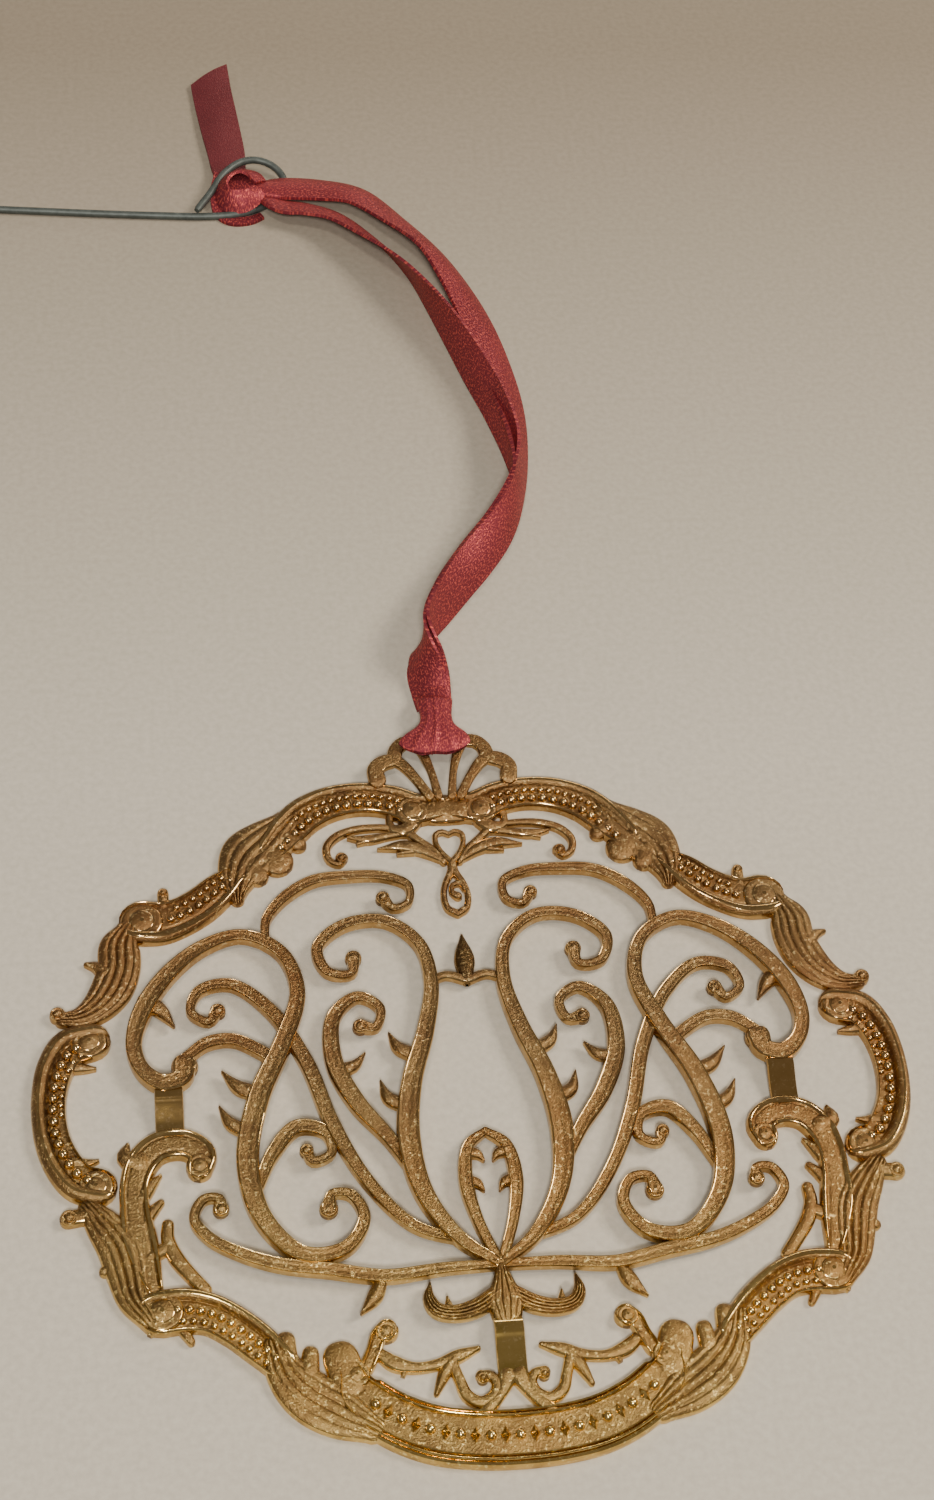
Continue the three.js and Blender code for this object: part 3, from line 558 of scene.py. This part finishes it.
BEAD_ANGLES = np.radians([0, 28, 55, 80])


def bead(x, y, z, radius):
    """Small dome sunk a little into the surface at height z."""
    profile = [(radius * 0.9, -0.3 * radius)]
    profile += [(radius * math.cos(a), radius * math.sin(a)) for a in BEAD_ANGLES]
    vertices, faces, slots = lathe(x, y, z, profile, around=12)
    return vertices, faces, [POLISHED] * len(slots)


def row_points(points, section, u, spacing, start, end):
    """Points at equal spacing along a stroke, at u across it, with the surface's height and direction."""
    curve = smooth_curve(points, 0.1)
    directions = tangents(curve[:, :2])
    normals = np.stack([-directions[:, 1], directions[:, 0]], axis=1)
    path = curve[:, :2] + normals * curve[:, 2:] * u
    along = np.concatenate([[0], np.cumsum(np.linalg.norm(np.diff(path, axis=0), axis=1))])
    first, last = start * along[-1], end * along[-1]
    stops = np.linspace(first, last, max(2, round((last - first) / spacing) + 1))
    height = float(section.height(u))
    found = []
    for stop in stops:
        i = min(int(np.searchsorted(along, stop)), len(path) - 1)
        found.append((path[i], directions[i], height))
    return found


# Rows of beads: stroke, u across it, spacing, bead radius, first and last share of its length
BEAD_ROWS = (
    ("top_scroll", -0.42, 1.12, 0.5, 0.14, 0.98),
    ("top_scroll", 0.1, 0.86, 0.36, 0.2, 0.92),
    ("upper_scroll", 0.0, 1.0, 0.44, 0.05, 0.74),
    ("upper_scroll", 0.5, 0.9, 0.36, 0.1, 0.66),
    ("side_scroll", -0.24, 1.12, 0.54, 0.08, 0.94),
    ("side_scroll", -0.7, 0.95, 0.34, 0.08, 0.5),
    ("lower_scroll", 0.02, 1.0, 0.45, 0.12, 0.97),
    ("lower_scroll", 0.52, 0.92, 0.36, 0.16, 0.94),
)
# Scroll eyes and knobs: x, y, radius, height factor
FRAME_VOLUTES = (
    (3.5, 32.6, 1.75, 1.05), (30.7, 20.9, 2.1, 1.0), (35.9, 8.0, 1.75, 1.0), (35.5, -6.8, 1.65, 1.0),
    (26.2, -5.3, 1.25, 1.0), (30.0, -19.1, 1.95, 1.0), (13.6, -26.0, 1.25, 1.0), (10.7, -22.2, 0.98, 1.0),
    (2.7, -27.0, 0.5, 0.9), (10.95, 27.4, 0.6, 0.9), (28.6, 24.1, 0.55, 0.9), (38.8, 11.1, 0.74, 1.0),
    (37.9, -9.7, 0.78, 1.0), (3.6, 31.2, 0.75, 0.9),
)
PANEL_VOLUTES = (
    (27.2, 4.7, 1.25, 0.85), (24.5, -9.9, 0.75, 0.85), (10.7, 15.5, 0.8, 0.85), (14.9, -10.5, 0.85, 0.85),
    (7.3, 22.2, 0.7, 0.85), (10.6, 8.0, 0.75, 0.85), (16.5, -4.6, 0.65, 0.85), (23.9, 10.4, 0.75, 0.85),
)
BANNER_MOTIF_U = -0.1
BANNER_MOTIF_SPACING = 1.35
BANNER_MOTIF_START = 0.2
BANNER_BEAD = 0.5
# Length along the banner, width across it, and height
BANNER_LOZENGE = (1.15, 1.95, 0.5)


def lozenge(centre, direction, z, length, width, height):
    """Low pyramid with four sides, its long diagonal along direction."""
    side = np.array([-direction[1], direction[0]])
    corners = [centre + direction * length / 2, centre + side * width / 2,
               centre - direction * length / 2, centre - side * width / 2]
    vertices = [(x, y, z - 0.15) for x, y in corners]
    vertices += [(*(centre + 0.12 * (np.array(c) - centre)), z + height) for c in corners]
    return np.array(vertices), *ring_faces(2, 4)


def add_frame(materials):
    plate = Piece()
    for name, points in FRAME_STROKES.items():
        section = FRAME_SECTIONS.get(name, ROUND)
        if name == "banner":
            whole = points + [[-x, y, half] for x, y, half in reversed(points[:-1])]
            plate.add(*relief_band(whole, section, FRAME_BACK))
        else:
            plate.add_mirrored(*relief_band(points, section, FRAME_BACK))
    plate.add(*relief_band(PENDANT_CURL, ROUND, FRAME_BACK))
    for points in CREST_STROKES.values():
        plate.add_mirrored(*relief_band(points, CREST, CREST_BACK))
    for x, y, radius, height in FRAME_VOLUTES:
        plate.add_mirrored(*volute(x, y, radius, FRAME_BACK, height))
    frame_relief = plate.build("frame_relief", materials)
    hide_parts("frame_plate")

    beads = Piece()
    for name, u, spacing, radius, start, end in BEAD_ROWS:
        section = FRAME_SECTIONS[name]
        for centre, _, height in row_points(FRAME_STROKES[name], section, u, spacing, start, end):
            beads.add_mirrored(*bead(*centre, FRAME_BACK + height, radius))
    motifs = row_points(
        FRAME_STROKES["banner"], BANNER, BANNER_MOTIF_U, BANNER_MOTIF_SPACING, BANNER_MOTIF_START, 1,
    )
    for i, (centre, direction, height) in enumerate(reversed(motifs)):
        if i % 2:
            shell = lozenge(centre, direction, FRAME_BACK + height, *BANNER_LOZENGE)
            beads.add_mirrored(shell[0], shell[1], [POLISHED] * len(shell[2]))
        elif i:
            beads.add_mirrored(*bead(*centre, FRAME_BACK + height, BANNER_BEAD))
        else:
            beads.add(*bead(*centre, FRAME_BACK + height, BANNER_BEAD))
    bead_work = beads.build("frame_beads", materials)
    for piece in (frame_relief, bead_work):
        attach(piece, "ornament")


PANEL_ROUND = ("stem_nib_upper", "stem_nib_lower", "palmette_nib", "yoke")
PANEL_BLADES = (
    "outer_nib", "scroll_leaf_upper", "scroll_leaf_lower", "lyre_leaf", "lyre_leaf_low", "fern_leaf",
    "base_bud",
)
# Share of its drawn width that a stroke's relief takes, inside its bevelled outer edge
PANEL_FINENESS = 0.9
# The long strokes pass over the others
PANEL_LIFTS = {"long_scroll": 0.14, "lyre": 0.1, "base_scroll": 0.06}


def panel_section(name):
    if name in PANEL_ROUND:
        return ROUND
    if name in PANEL_BLADES:
        return BLADE
    if name == "finial":
        return LOBE
    return LEAF if name.startswith("palmette") else CHANNEL


def add_panel(materials):
    panel = Piece()
    for name, points in PANEL_STROKES.items():
        fine = [(x, y, half * PANEL_FINENESS) for x, y, half in points]
        panel.add_mirrored(*relief_band(fine, panel_section(name), PANEL_BACK, PANEL_LIFTS.get(name, 0)))
    for x, y, radius, height in PANEL_VOLUTES:
        panel.add_mirrored(*volute(x, y, radius, PANEL_BACK, height))
    relief = panel.build("panel_relief", materials)
    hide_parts("scroll_panel")
    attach(relief, "ornament")


TAB_HALF_WIDTH = 1.32
TAB_THICKNESS = 0.36
# The strip's middle line as (y, z): it leaves the panel over a round bend, drops, and runs on under the frame
SIDE_TAB_LINE = ((2.7, 1.15), (2.0, 1.5), (1.4, 1.52), (0.9, 1.3), (-0.5, 0.85), (-1.2, 0.7), (-2.2, 0.66))
BOTTOM_TAB_LINE = (
    (-21.9, 1.15), (-22.6, 1.5), (-23.2, 1.52), (-23.7, 1.3), (-25.1, 0.85), (-25.8, 0.7), (-26.8, 0.66),
)
TABS = (
    ("bridge_tab_left", -28.75, SIDE_TAB_LINE),
    ("bridge_tab_right", 28.75, SIDE_TAB_LINE),
    ("bridge_tab_bottom", 0, BOTTOM_TAB_LINE),
)


def add_tab(node, x, line, material):
    """Bent strip with slightly rounded long edges."""
    path = smooth_curve([(y, z, 0) for y, z in line], 0.15)[:, :2]
    directions = tangents(path)
    normals = np.stack([-directions[:, 1], directions[:, 0]], axis=1)
    if normals[0, 1] < 0:
        normals = -normals
    half = TAB_THICKNESS / 2
    outline = [(-1, -half), (1, -half), (1, 0), (0.94, half), (0, half), (-0.94, half), (-1, 0)]
    rings = [
        [(x + u * TAB_HALF_WIDTH, y + ny * h, z + nz * h) for u, h in outline]
        for (y, z), (ny, nz) in zip(path, normals)
    ]
    tab = Piece()
    tab.add_rings(np.array(rings))
    obj = tab.build(node.replace("bridge_tab", "tab"), [material], sharp_angle=30)
    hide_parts(node)
    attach(obj, "ornament")


# ---------------------------------------------------------------- ribbon and hook

# Tilt in degrees at each point of a strand, its end included: 0 and 180 lie flat, 90 stands on edge.
# Both strands start nearly flat at the hitch, turn up on edge above it, and lie down again at the knot.
LOWER_STRAND_TILT = (165, 147, 126, 84, 58, 46, 58, 74, 101, 112, 112, 102, 84, 64, 46, 35, 28, 24, 24, 24)
UPPER_STRAND_TILT = (165, 147, 130, 86, 62, 48, 60, 72, 58, 36, 28, 28, 35, 41, 32, 20, 14, 12, 12, 12)
# The routes stop short of the knot, and these points take the strands into it
LOWER_STRAND_END = ((-8.6, 121.6, 0.9), (-10.7, 122.1, 0.8), (-12.2, 122.9, 0.9), (-13.6, 123.8, 1.0))
UPPER_STRAND_END = ((-6.6, 124.4, 1.5), (-11.1, 124.8, 1.4), (-12.9, 124.7, 1.4), (-14.6, 124.3, 1.4))
STRAND_TOP = 1.75
# A band that stands on its edge leans over its foot, towards the ornament, by this share of its rise
SET_BACK = 0.95
# The strands' half turn lies this far to the left of the route, around this distance up it
TWIST_SHIFT = -0.75
TWIST_PLACE = 55.5
TWIST_REACH = 6.0
STRAND_BOW = 0.55
STRAND_START_HALVES = [1.75, 2.1, 2.35]
STRAND_END_HALVES = [2.4, 2.3, 1.8, 0.9]
# The cut tail: its tilt and half-width at each point of its route, and the skew of its cut end
TAIL_TILT = (8, 4, 2, 0, -4, -6, -4)
TAIL_HALVES = (1.8, 2.1, 2.3, 2.4, 2.45, 2.45, 2.45)
TAIL_CUT_SKEW = -1.7
RIBBON_SAMPLES = 9
SELVEDGE = 0.04


def ribbon_rings(control, half_widths, tilt, skew=0, step=0.6, clearance=0.35, bow=0.4, set_back=0.0):
    """Rings of a flat band along a route, with the centreline that they follow.

    The band turns about its route by the tilt, bows upwards, and keeps the clearance from the ground.
    Where that raises it, its middle also moves back along Y by set_back times the rise."""
    rows = np.column_stack([control, half_widths, np.array(tilt, float) / 10])
    curve = smooth_curve(rows, step)
    centres, halves, turn = curve[:, :3], curve[:, 3], np.radians(curve[:, 4] * 10)
    raised = np.maximum(centres[:, 2], halves * np.abs(np.sin(turn)) + clearance)
    centres[:, 1] -= set_back * (raised - centres[:, 2])
    centres[:, 2] = raised
    forward = tangents(centres)
    level = unit(np.cross([0, 0, 1], forward))
    upright = np.cross(forward, level)
    across = level * np.cos(turn)[:, None] + upright * np.sin(turn)[:, None]
    normal = np.cross(forward, across)
    u = np.linspace(-1, 1, RIBBON_SAMPLES)
    thickness = RIBBON_THICKNESS / 2 + SELVEDGE * (np.abs(u) > 0.95)
    loop_u = np.concatenate([u, u[::-1]])
    loop_h = np.concatenate([thickness, -thickness[::-1]])
    arch = bow * np.cos(turn)[:, None] * (1 - loop_u ** 2)
    share = np.linspace(0, 1, len(centres)) ** 8
    slide = skew * share[:, None] * loop_u
    rings = (
        centres[:, None]
        + across[:, None] * (halves[:, None] * loop_u)[..., None]
        + normal[:, None] * (loop_h + arch)[..., None]
        + forward[:, None] * slide[..., None]
    )
    return rings, centres


def set_uv(obj, uv):
    """Thread coordinates in millimetres, one pair for each vertex."""
    layer = obj.data.uv_layers.new(name="threads")
    index = np.zeros(len(obj.data.loops), int)
    obj.data.loops.foreach_get("vertex_index", index)
    layer.data.foreach_set("uv", uv[index].ravel())


def band_uv(rings):
    """Millimetres across the band and along it, for each vertex of its rings."""
    middles = rings.mean(axis=1)
    along = np.concatenate([[0], np.cumsum(np.linalg.norm(np.diff(middles, axis=0), axis=1))])
    width = np.linalg.norm(rings - rings[:, :1], axis=2)
    return np.stack([width, np.repeat(along[:, None], rings.shape[1], axis=1)], axis=2).reshape(-1, 2)


def add_band(name, rings, material):
    piece = Piece()
    piece.add_rings(rings)
    obj = piece.build(name, [material], sharp_angle=70)
    set_uv(obj, band_uv(rings))
    return obj


def path_length(points):
    return float(np.linalg.norm(np.diff(points, axis=0), axis=1).sum())


HITCH_STATIONS = (
    # y, z, half-width, half-thickness, depth of the pleats
    (47.0, 1.0, 1.5, 0.3, 0.0),
    (46.1, 1.5, 1.8, 0.65, 0.02),
    (45.3, 1.85, 1.82, 0.9, 0.03),
    (44.3, 1.9, 1.68, 0.92, 0.04),
    (43.4, 1.95, 1.62, 0.92, 0.05),
    (42.5, 2.0, 1.78, 0.9, 0.05),
    (41.8, 2.1, 2.3, 0.8, 0.06),
    (41.2, 2.2, 3.0, 0.6, 0.06),
    (40.6, 2.2, 3.5, 0.42, 0.05),
    (40.1, 2.1, 3.68, 0.26, 0.03),
)
HITCH_BACK_LOOP = (
    (0, 39.6, 2.2), (0, 39.4, 1.4), (0, 39.7, 0.7), (0, 40.8, 0.3), (0, 42.4, 0.3), (0, 44.0, 0.7),
)
HITCH_BACK_HALF = 0.75
HITCH_SAMPLES = 33
# The bell's lip: its sag between the corners, its waviness, and its shift to the left
LIP_SAG = 1.35
LIP_WAVE = 0.07
LIP_SHIFT = -0.55


def add_hitch(material):
    """Flared, pleated bell in front of the rim, and the loop that passes behind it."""
    stations = smooth_curve(HITCH_STATIONS, 0.3)
    u = np.linspace(-1, 1, HITCH_SAMPLES)
    loop_u = np.concatenate([u, u[::-1]])
    side = np.concatenate([np.ones(HITCH_SAMPLES), -np.ones(HITCH_SAMPLES)])
    round_off = np.sqrt(1 - 0.96 * loop_u ** 2)
    pleats = np.cos(loop_u * 13 + 0.7) + 0.5 * np.cos(loop_u * 23 + 1.2)
    share = np.linspace(0, 1, len(stations)) ** 3
    lip = LIP_SAG * (loop_u ** 4 - 1) + LIP_WAVE * np.cos(loop_u * math.pi * 3)
    rings = np.zeros((len(stations), len(loop_u), 3))
    rings[..., 0] = stations[:, 2:3] * loop_u + LIP_SHIFT * share[:, None]
    rings[..., 1] = stations[:, 0:1] + share[:, None] * lip
    rings[..., 2] = (
        stations[:, 1:2] + stations[:, 3:4] * side * round_off + stations[:, 4:5] * pleats * (side > 0)
    )
    piece = Piece()
    piece.add_rings(rings, flip=True)
    count = len(HITCH_BACK_LOOP)
    back, _ = ribbon_rings(HITCH_BACK_LOOP, [HITCH_BACK_HALF] * count, [0] * count, step=0.25)
    piece.add_rings(back)
    obj = piece.build("ribbon_bell", [material])
    set_uv(obj, np.vstack(piece.vertices)[:, :2])
    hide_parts("ribbon_hitch")
    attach(obj, "ornament")


def add_strand(name, node, route, ending, tilt, clearance, material):
    lowered = [
        (x + TWIST_SHIFT * math.exp(-((y - TWIST_PLACE) / TWIST_REACH) ** 2), y, min(z, STRAND_TOP))
        for x, y, z in route
    ]
    middle = [RIBBON_HALF_WIDTH] * (len(route) - len(STRAND_START_HALVES))
    halves = STRAND_START_HALVES + middle + STRAND_END_HALVES
    rings, centres = ribbon_rings(
        lowered + list(ending), halves, tilt, clearance=clearance, set_back=SET_BACK, bow=STRAND_BOW,
    )
    obj = add_band(name, rings, material)
    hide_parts(node)
    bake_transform(obj)
    return obj, to_row(centres), path_length(centres)


KNOT_LOOP = (
    (-13.6, 125.3, 1.9), (-14.6, 126.7, 2.1), (-16.2, 127.0, 2.2), (-17.8, 125.9, 2.1),
    (-18.5, 124.1, 1.9), (-17.9, 122.6, 1.7), (-16.2, 122.1, 1.8), (-14.8, 122.6, 2.0),
    (-13.9, 123.8, 2.1),
)
KNOT_LOOP_TILT = (20, 30, 40, 50, 55, 56, 50, 40, 25)
KNOT_LOOP_HALVES = (0.9, 1.2, 1.4, 1.4, 1.35, 1.35, 1.4, 1.2, 0.9)
KNOT_UNDER = (
    (-13.6, 121.3, 0.2), (-15.2, 120.5, 0.15), (-17.2, 120.4, 0.15), (-18.6, 121.5, 0.25),
    (-18.4, 124.2, 0.9), (-17.4, 127.4, 1.0),
)
KNOT_UNDER_TILT = (0, 0, 0, 4, 12, 10)
KNOT_UNDER_HALVES = (0.5, 0.65, 0.7, 0.75, 1.4, 1.8)
KNOT_CORE_PLACE = (-16.0, 124.9, 1.05)
KNOT_CORE = ((0.03, -0.8), (2.1, -0.6), (2.9, 0), (2.8, 0.55), (2.1, 0.85), (0.03, 0.8))


def add_knot(material):
    """Turns of the ribbon drawn together into a knot."""
    loop, _ = ribbon_rings(KNOT_LOOP, KNOT_LOOP_HALVES, KNOT_LOOP_TILT, step=0.3, bow=0.2)
    under, _ = ribbon_rings(KNOT_UNDER, KNOT_UNDER_HALVES, KNOT_UNDER_TILT, step=0.3, clearance=0.12, bow=0.1)
    piece = Piece()
    piece.add_rings(loop)
    piece.add_rings(under)
    piece.add(*lathe(*KNOT_CORE_PLACE, KNOT_CORE, around=28))
    obj = piece.build("tied_knot", [material])
    set_uv(obj, np.vstack(piece.vertices)[:, :2])
    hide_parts("ribbon_knot")
    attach(obj, "ribbon")
    return obj


def add_tail(material):
    rings, _ = ribbon_rings(TAIL_ROUTE, TAIL_HALVES, TAIL_TILT, TAIL_CUT_SKEW)
    obj = add_band("cut_tail", rings, material)
    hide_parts("ribbon_tail")
    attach(obj, "ribbon")
    return obj


WIRE_SIDES = 14
# The wire's cut ends are a little thinner
WIRE_END = 0.75


def add_hook(material):
    path = smooth_curve(HOOK_ROUTE, 0.4)
    forward = tangents(path)
    level = unit(np.cross([0, 0, 1], forward))
    upright = np.cross(forward, level)
    angles = np.linspace(0, 2 * math.pi, WIRE_SIDES, endpoint=False)
    circle = level[:, None] * np.cos(angles)[:, None] + upright[:, None] * np.sin(angles)[:, None]
    radii = np.full(len(path), WIRE_RADIUS)
    radii[[0, -1]] = WIRE_RADIUS * WIRE_END
    rings = path[:, None] + circle * radii[:, None, None]
    piece = Piece()
    piece.add_rings(rings)
    obj = piece.build("bent_wire", [material])
    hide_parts("wire_hook")
    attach(obj, "hook")
    return obj


def add_ribbon_and_hook(satin, back, wire):
    knot = add_knot(satin)
    tail = add_tail(back)
    hook = add_hook(wire)
    strands = (
        ("lower", LOWER_STRAND_ROUTE, LOWER_STRAND_END, LOWER_STRAND_TILT, 0.35, ()),
        ("upper", UPPER_STRAND_ROUTE, UPPER_STRAND_END, UPPER_STRAND_TILT, 0.6, (knot, tail, hook)),
    )
    for side, route, ending, tilt, clearance, on_it in strands:
        name, node = "strand_" + side, "ribbon_strand_" + side
        obj, path, length = add_strand(name, node, route, ending, tilt, clearance, satin)
    add_hitch(satin)


# ---------------------------------------------------------------- materials


class Nodes:
    """Short names for building one material's node tree."""

    def __init__(self, name):
        self.material = bpy.data.materials.new(name)
        self.material.use_nodes = True
        self.tree = self.material.node_tree
        self.shader = self.tree.nodes["Principled BSDF"]

    def new(self, kind, **settings):
        node = self.tree.nodes.new(kind)
        for key, value in settings.items():
            if hasattr(node, key):
                setattr(node, key, value)
            else:
                node.inputs[key].default_value = value
        return node

    def link(self, source, target):
        self.tree.links.new(source, target)

    def place(self, kind="Object"):
        return self.new("ShaderNodeTexCoord").outputs[kind]

    def noise(self, place, scale, detail=3.0, roughness=0.5):
        node = self.new("ShaderNodeTexNoise", Scale=scale, Detail=detail, Roughness=roughness)
        self.link(place, node.inputs["Vector"])
        return node.outputs["Fac"]

    def ramp(self, factor, *stops):
        node = self.new("ShaderNodeValToRGB")
        node.color_ramp.elements[0].position = stops[0][0]
        node.color_ramp.elements[0].color = (*stops[0][1], 1)
        node.color_ramp.elements[1].position = stops[-1][0]
        node.color_ramp.elements[1].color = (*stops[-1][1], 1)
        for position, colour in stops[1:-1]:
            node.color_ramp.elements.new(position).color = (*colour, 1)
        self.link(factor, node.inputs["Fac"])
        return node.outputs["Color"]

    def mix(self, factor, a, b, blend="MIX"):
        node = self.new("ShaderNodeMix", data_type="RGBA", blend_type=blend)
        for value, socket in ((factor, node.inputs[0]), (a, node.inputs[6]), (b, node.inputs[7])):
            if isinstance(value, bpy.types.NodeSocket):
                self.link(value, socket)
            elif isinstance(value, tuple):
                socket.default_value = (*value, 1)
            else:
                socket.default_value = value
        return node.outputs[2]

    def map_range(self, value, low, high, to_low, to_high):
        node = self.new("ShaderNodeMapRange")
        for key, number in (("From Min", low), ("From Max", high), ("To Min", to_low), ("To Max", to_high)):
            node.inputs[key].default_value = number
        self.link(value, node.inputs["Value"])
        return node.outputs["Result"]

    def along_y(self, place, low, high):
        """A factor that goes from 0 to 1 between two places along Y."""
        parts = self.new("ShaderNodeSeparateXYZ")
        self.link(place, parts.inputs["Vector"])
        return self.map_range(parts.outputs["Y"], low, high, 0, 1)

    def bump(self, height, strength, distance):
        node = self.new("ShaderNodeBump", Strength=strength, Distance=distance)
        self.link(height, node.inputs["Height"])
        self.link(node.outputs["Normal"], self.shader.inputs["Normal"])


# Painted shade: the plating gets darker and browner from the banner up, towards the far side where less light
# falls, between these places in metres
PAINTED_SHADE_Y = (-0.032, 0.002)
PAINTED_SHADE = (0.72, 0.67, 0.8)


def brass(name, dark, light, fleck, roughness, grain_scale, grain_strength):
    """Antiqued gold plate: the colour drifts over the plate, with mottling, bright flecks and fine grain, and
    painted shade darkens it towards the far side.
    """
    n = Nodes(name)
    place = n.place()
    drift = n.noise(place, 45, 2)
    mottle = n.noise(place, 420, 4, 0.65)
    specks = n.noise(place, 2600, 2, 0.6)
    tone = n.ramp(mottle, (0.32, dark), (0.68, light))
    coppery = n.mix(0.25, tone, (0.38, 0.15, 0.035))
    colour = n.mix(n.map_range(drift, 0.42, 0.62, 0, 1), tone, coppery)
    flecked = n.mix(n.map_range(specks, 0.58, 0.7, 0, 0.8), colour, fleck)
    # Painted shade: the colour is multiplied darker and browner towards the far side
    painted_shade_colour = n.mix(n.along_y(place, *PAINTED_SHADE_Y), flecked, PAINTED_SHADE, "MULTIPLY")
    n.link(painted_shade_colour, n.shader.inputs["Base Color"])
    n.shader.inputs["Metallic"].default_value = 1
    grain = n.noise(place, grain_scale, 3, 0.55)
    low, high = roughness
    n.link(n.map_range(mottle, 0.3, 0.7, high, low), n.shader.inputs["Roughness"])
    n.bump(grain, grain_strength, 0.00014)
    return n.material


def satin(name, deep_colours, painted_sheen_colour, painted_sheen_amount, metallic, roughness):
    """Woven satin: a weave noise drawn out along the band bumps its surface, and bright speckles that follow
    it are painted sheen, light caught by the threads painted into the colour.
    """
    n = Nodes(name)
    threads = n.place("UV")
    stretch = n.new("ShaderNodeMapping")
    stretch.inputs["Scale"].default_value = (6.5, 3.2, 1)
    n.link(threads, stretch.inputs["Vector"])
    weave = n.noise(stretch.outputs["Vector"], 1.0, 2)
    soft = n.noise(n.place(), 160, 2)
    deep = n.ramp(soft, (0.35, deep_colours[0]), (0.7, deep_colours[1]))
    # Painted sheen: where the weave noise is high, the colour is mixed towards the bright sheen colour
    sheen_painted_colour = n.mix(n.map_range(weave, 0.5, 0.68, 0, painted_sheen_amount), deep, painted_sheen_colour)
    n.link(sheen_painted_colour, n.shader.inputs["Base Color"])
    n.shader.inputs["Metallic"].default_value = metallic
    n.shader.inputs["Roughness"].default_value = roughness
    n.shader.inputs["Specular IOR Level"].default_value = 0.4
    n.shader.inputs["Specular Tint"].default_value = (1.0, 0.36, 0.25, 1)
    n.bump(weave, 0.6, 0.00012)
    return n.material


def dull_wire():
    n = Nodes("hook_wire")
    mottle = n.noise(n.place(), 900, 4, 0.6)
    steel = n.ramp(mottle, (0.3, (0.05, 0.06, 0.055)), (0.7, (0.10, 0.115, 0.105)))
    n.link(steel, n.shader.inputs["Base Color"])
    n.shader.inputs["Metallic"].default_value = 0.4
    n.shader.inputs["Roughness"].default_value = 0.5
    n.bump(mottle, 0.25, 0.00008)
    return n.material


# ---------------------------------------------------------------- surroundings

FLOOR_SIZE = 2.4
# Painted shade: the cloth gets darker and warmer between these distances behind the ornament, in metres,
# where less light reaches it
FLOOR_SHADE_Y = (0.035, 0.15)
FLOOR_SHADE = (0.55, 0.50, 0.45)


def add_floor():
    mesh = bpy.data.meshes.new("floor")
    half = FLOOR_SIZE / 2
    corners = [(-half, -half, 0), (half, -half, 0), (half, half, 0), (-half, half, 0)]
    mesh.from_pydata(corners, [], [(0, 1, 2, 3)])
    floor = bpy.data.objects.new("floor", mesh)
    bpy.context.scene.collection.objects.link(floor)
    n = Nodes("pale_floor")
    place = n.place()
    fine = n.noise(place, 1500, 2)
    cloth = n.ramp(fine, (0.3, (0.45, 0.41, 0.335)), (0.7, (0.51, 0.465, 0.385)))
    # Painted shade: the cloth is multiplied darker further behind the ornament
    shaded = n.mix(n.along_y(place, *FLOOR_SHADE_Y), cloth, FLOOR_SHADE, "MULTIPLY")
    n.link(shaded, n.shader.inputs["Base Color"])
    n.shader.inputs["Roughness"].default_value = 0.9
    n.shader.inputs["Specular IOR Level"].default_value = 0.1
    mesh.materials.append(n.material)


def add_area_light(name, place, target, size, power, colour):
    data = bpy.data.lights.new(name, "AREA")
    data.shape = "RECTANGLE"
    data.size, data.size_y = size
    data.energy = power
    data.color = colour
    light = bpy.data.objects.new(name, data)
    light.location = place
    light.rotation_euler = (Vector(target) - Vector(place)).to_track_quat("-Z", "Y").to_euler()
    bpy.context.scene.collection.objects.link(light)


def add_lights():
    world = bpy.data.worlds.new("studio")
    world.use_nodes = True
    background = world.node_tree.nodes["Background"]
    background.inputs["Color"].default_value = (1.0, 0.92, 0.83, 1)
    background.inputs["Strength"].default_value = 0.23
    bpy.context.scene.world = world
    add_area_light("key", (0.52, 0.12, 0.52), (0, 0.01, 0), (0.24, 0.24), 4.35, (1.0, 0.91, 0.79))
    add_area_light("near_fill", (-0.05, -0.34, 0.46), (0, -0.02, 0), (0.08, 0.08), 2.65, (1.0, 0.96, 0.91))
    add_area_light("overhead", (-0.12, -0.06, 0.55), (0, 0, 0), (0.07, 0.07), 0.8, (1.0, 0.94, 0.85))
    add_area_light("far_strip", (0.2, 0.75, 0.24), (0, 0, 0), (0.5, 0.08), 0.9, (1.0, 0.93, 0.82))


# ---------------------------------------------------------------- assembly

add_camera()
# The third and fourth arguments are the colour and amount of the painted sheen
ribbon_material = satin(
    "red_satin", ((0.145, 0.022, 0.033), (0.20, 0.03, 0.044)), (0.62, 0.11, 0.085), 0.9, 0.42, 0.42,
)
# The tail shows the band's matte back, with dimmer painted sheen
ribbon_back = satin(
    "red_satin_back", ((0.10, 0.02, 0.026), (0.135, 0.027, 0.035)), (0.22, 0.045, 0.045), 0.5, 0.2, 0.6,
)
add_ribbon_and_hook(ribbon_material, ribbon_back, dull_wire())
frosted = brass(
    "frosted_brass", (0.185, 0.113, 0.041), (0.35, 0.232, 0.077), (0.86, 0.65, 0.24), (0.3, 0.44), 5200, 0.8,
)
polished = brass(
    "polished_brass", (0.47, 0.31, 0.097), (0.88, 0.63, 0.22), (1.0, 0.85, 0.4), (0.08, 0.17), 1200, 0.15,
)
mirror = brass(
    "mirror_brass", (0.50, 0.34, 0.09), (0.70, 0.48, 0.16), (0.85, 0.62, 0.28), (0.08, 0.14), 500, 0.05,
)
add_frame((frosted, polished))
add_panel((frosted, polished))
for tab_node, tab_x, tab_line in TABS:
    add_tab(tab_node, tab_x, tab_line, mirror)
add_floor()
add_lights()

bpy.context.view_layer.update()
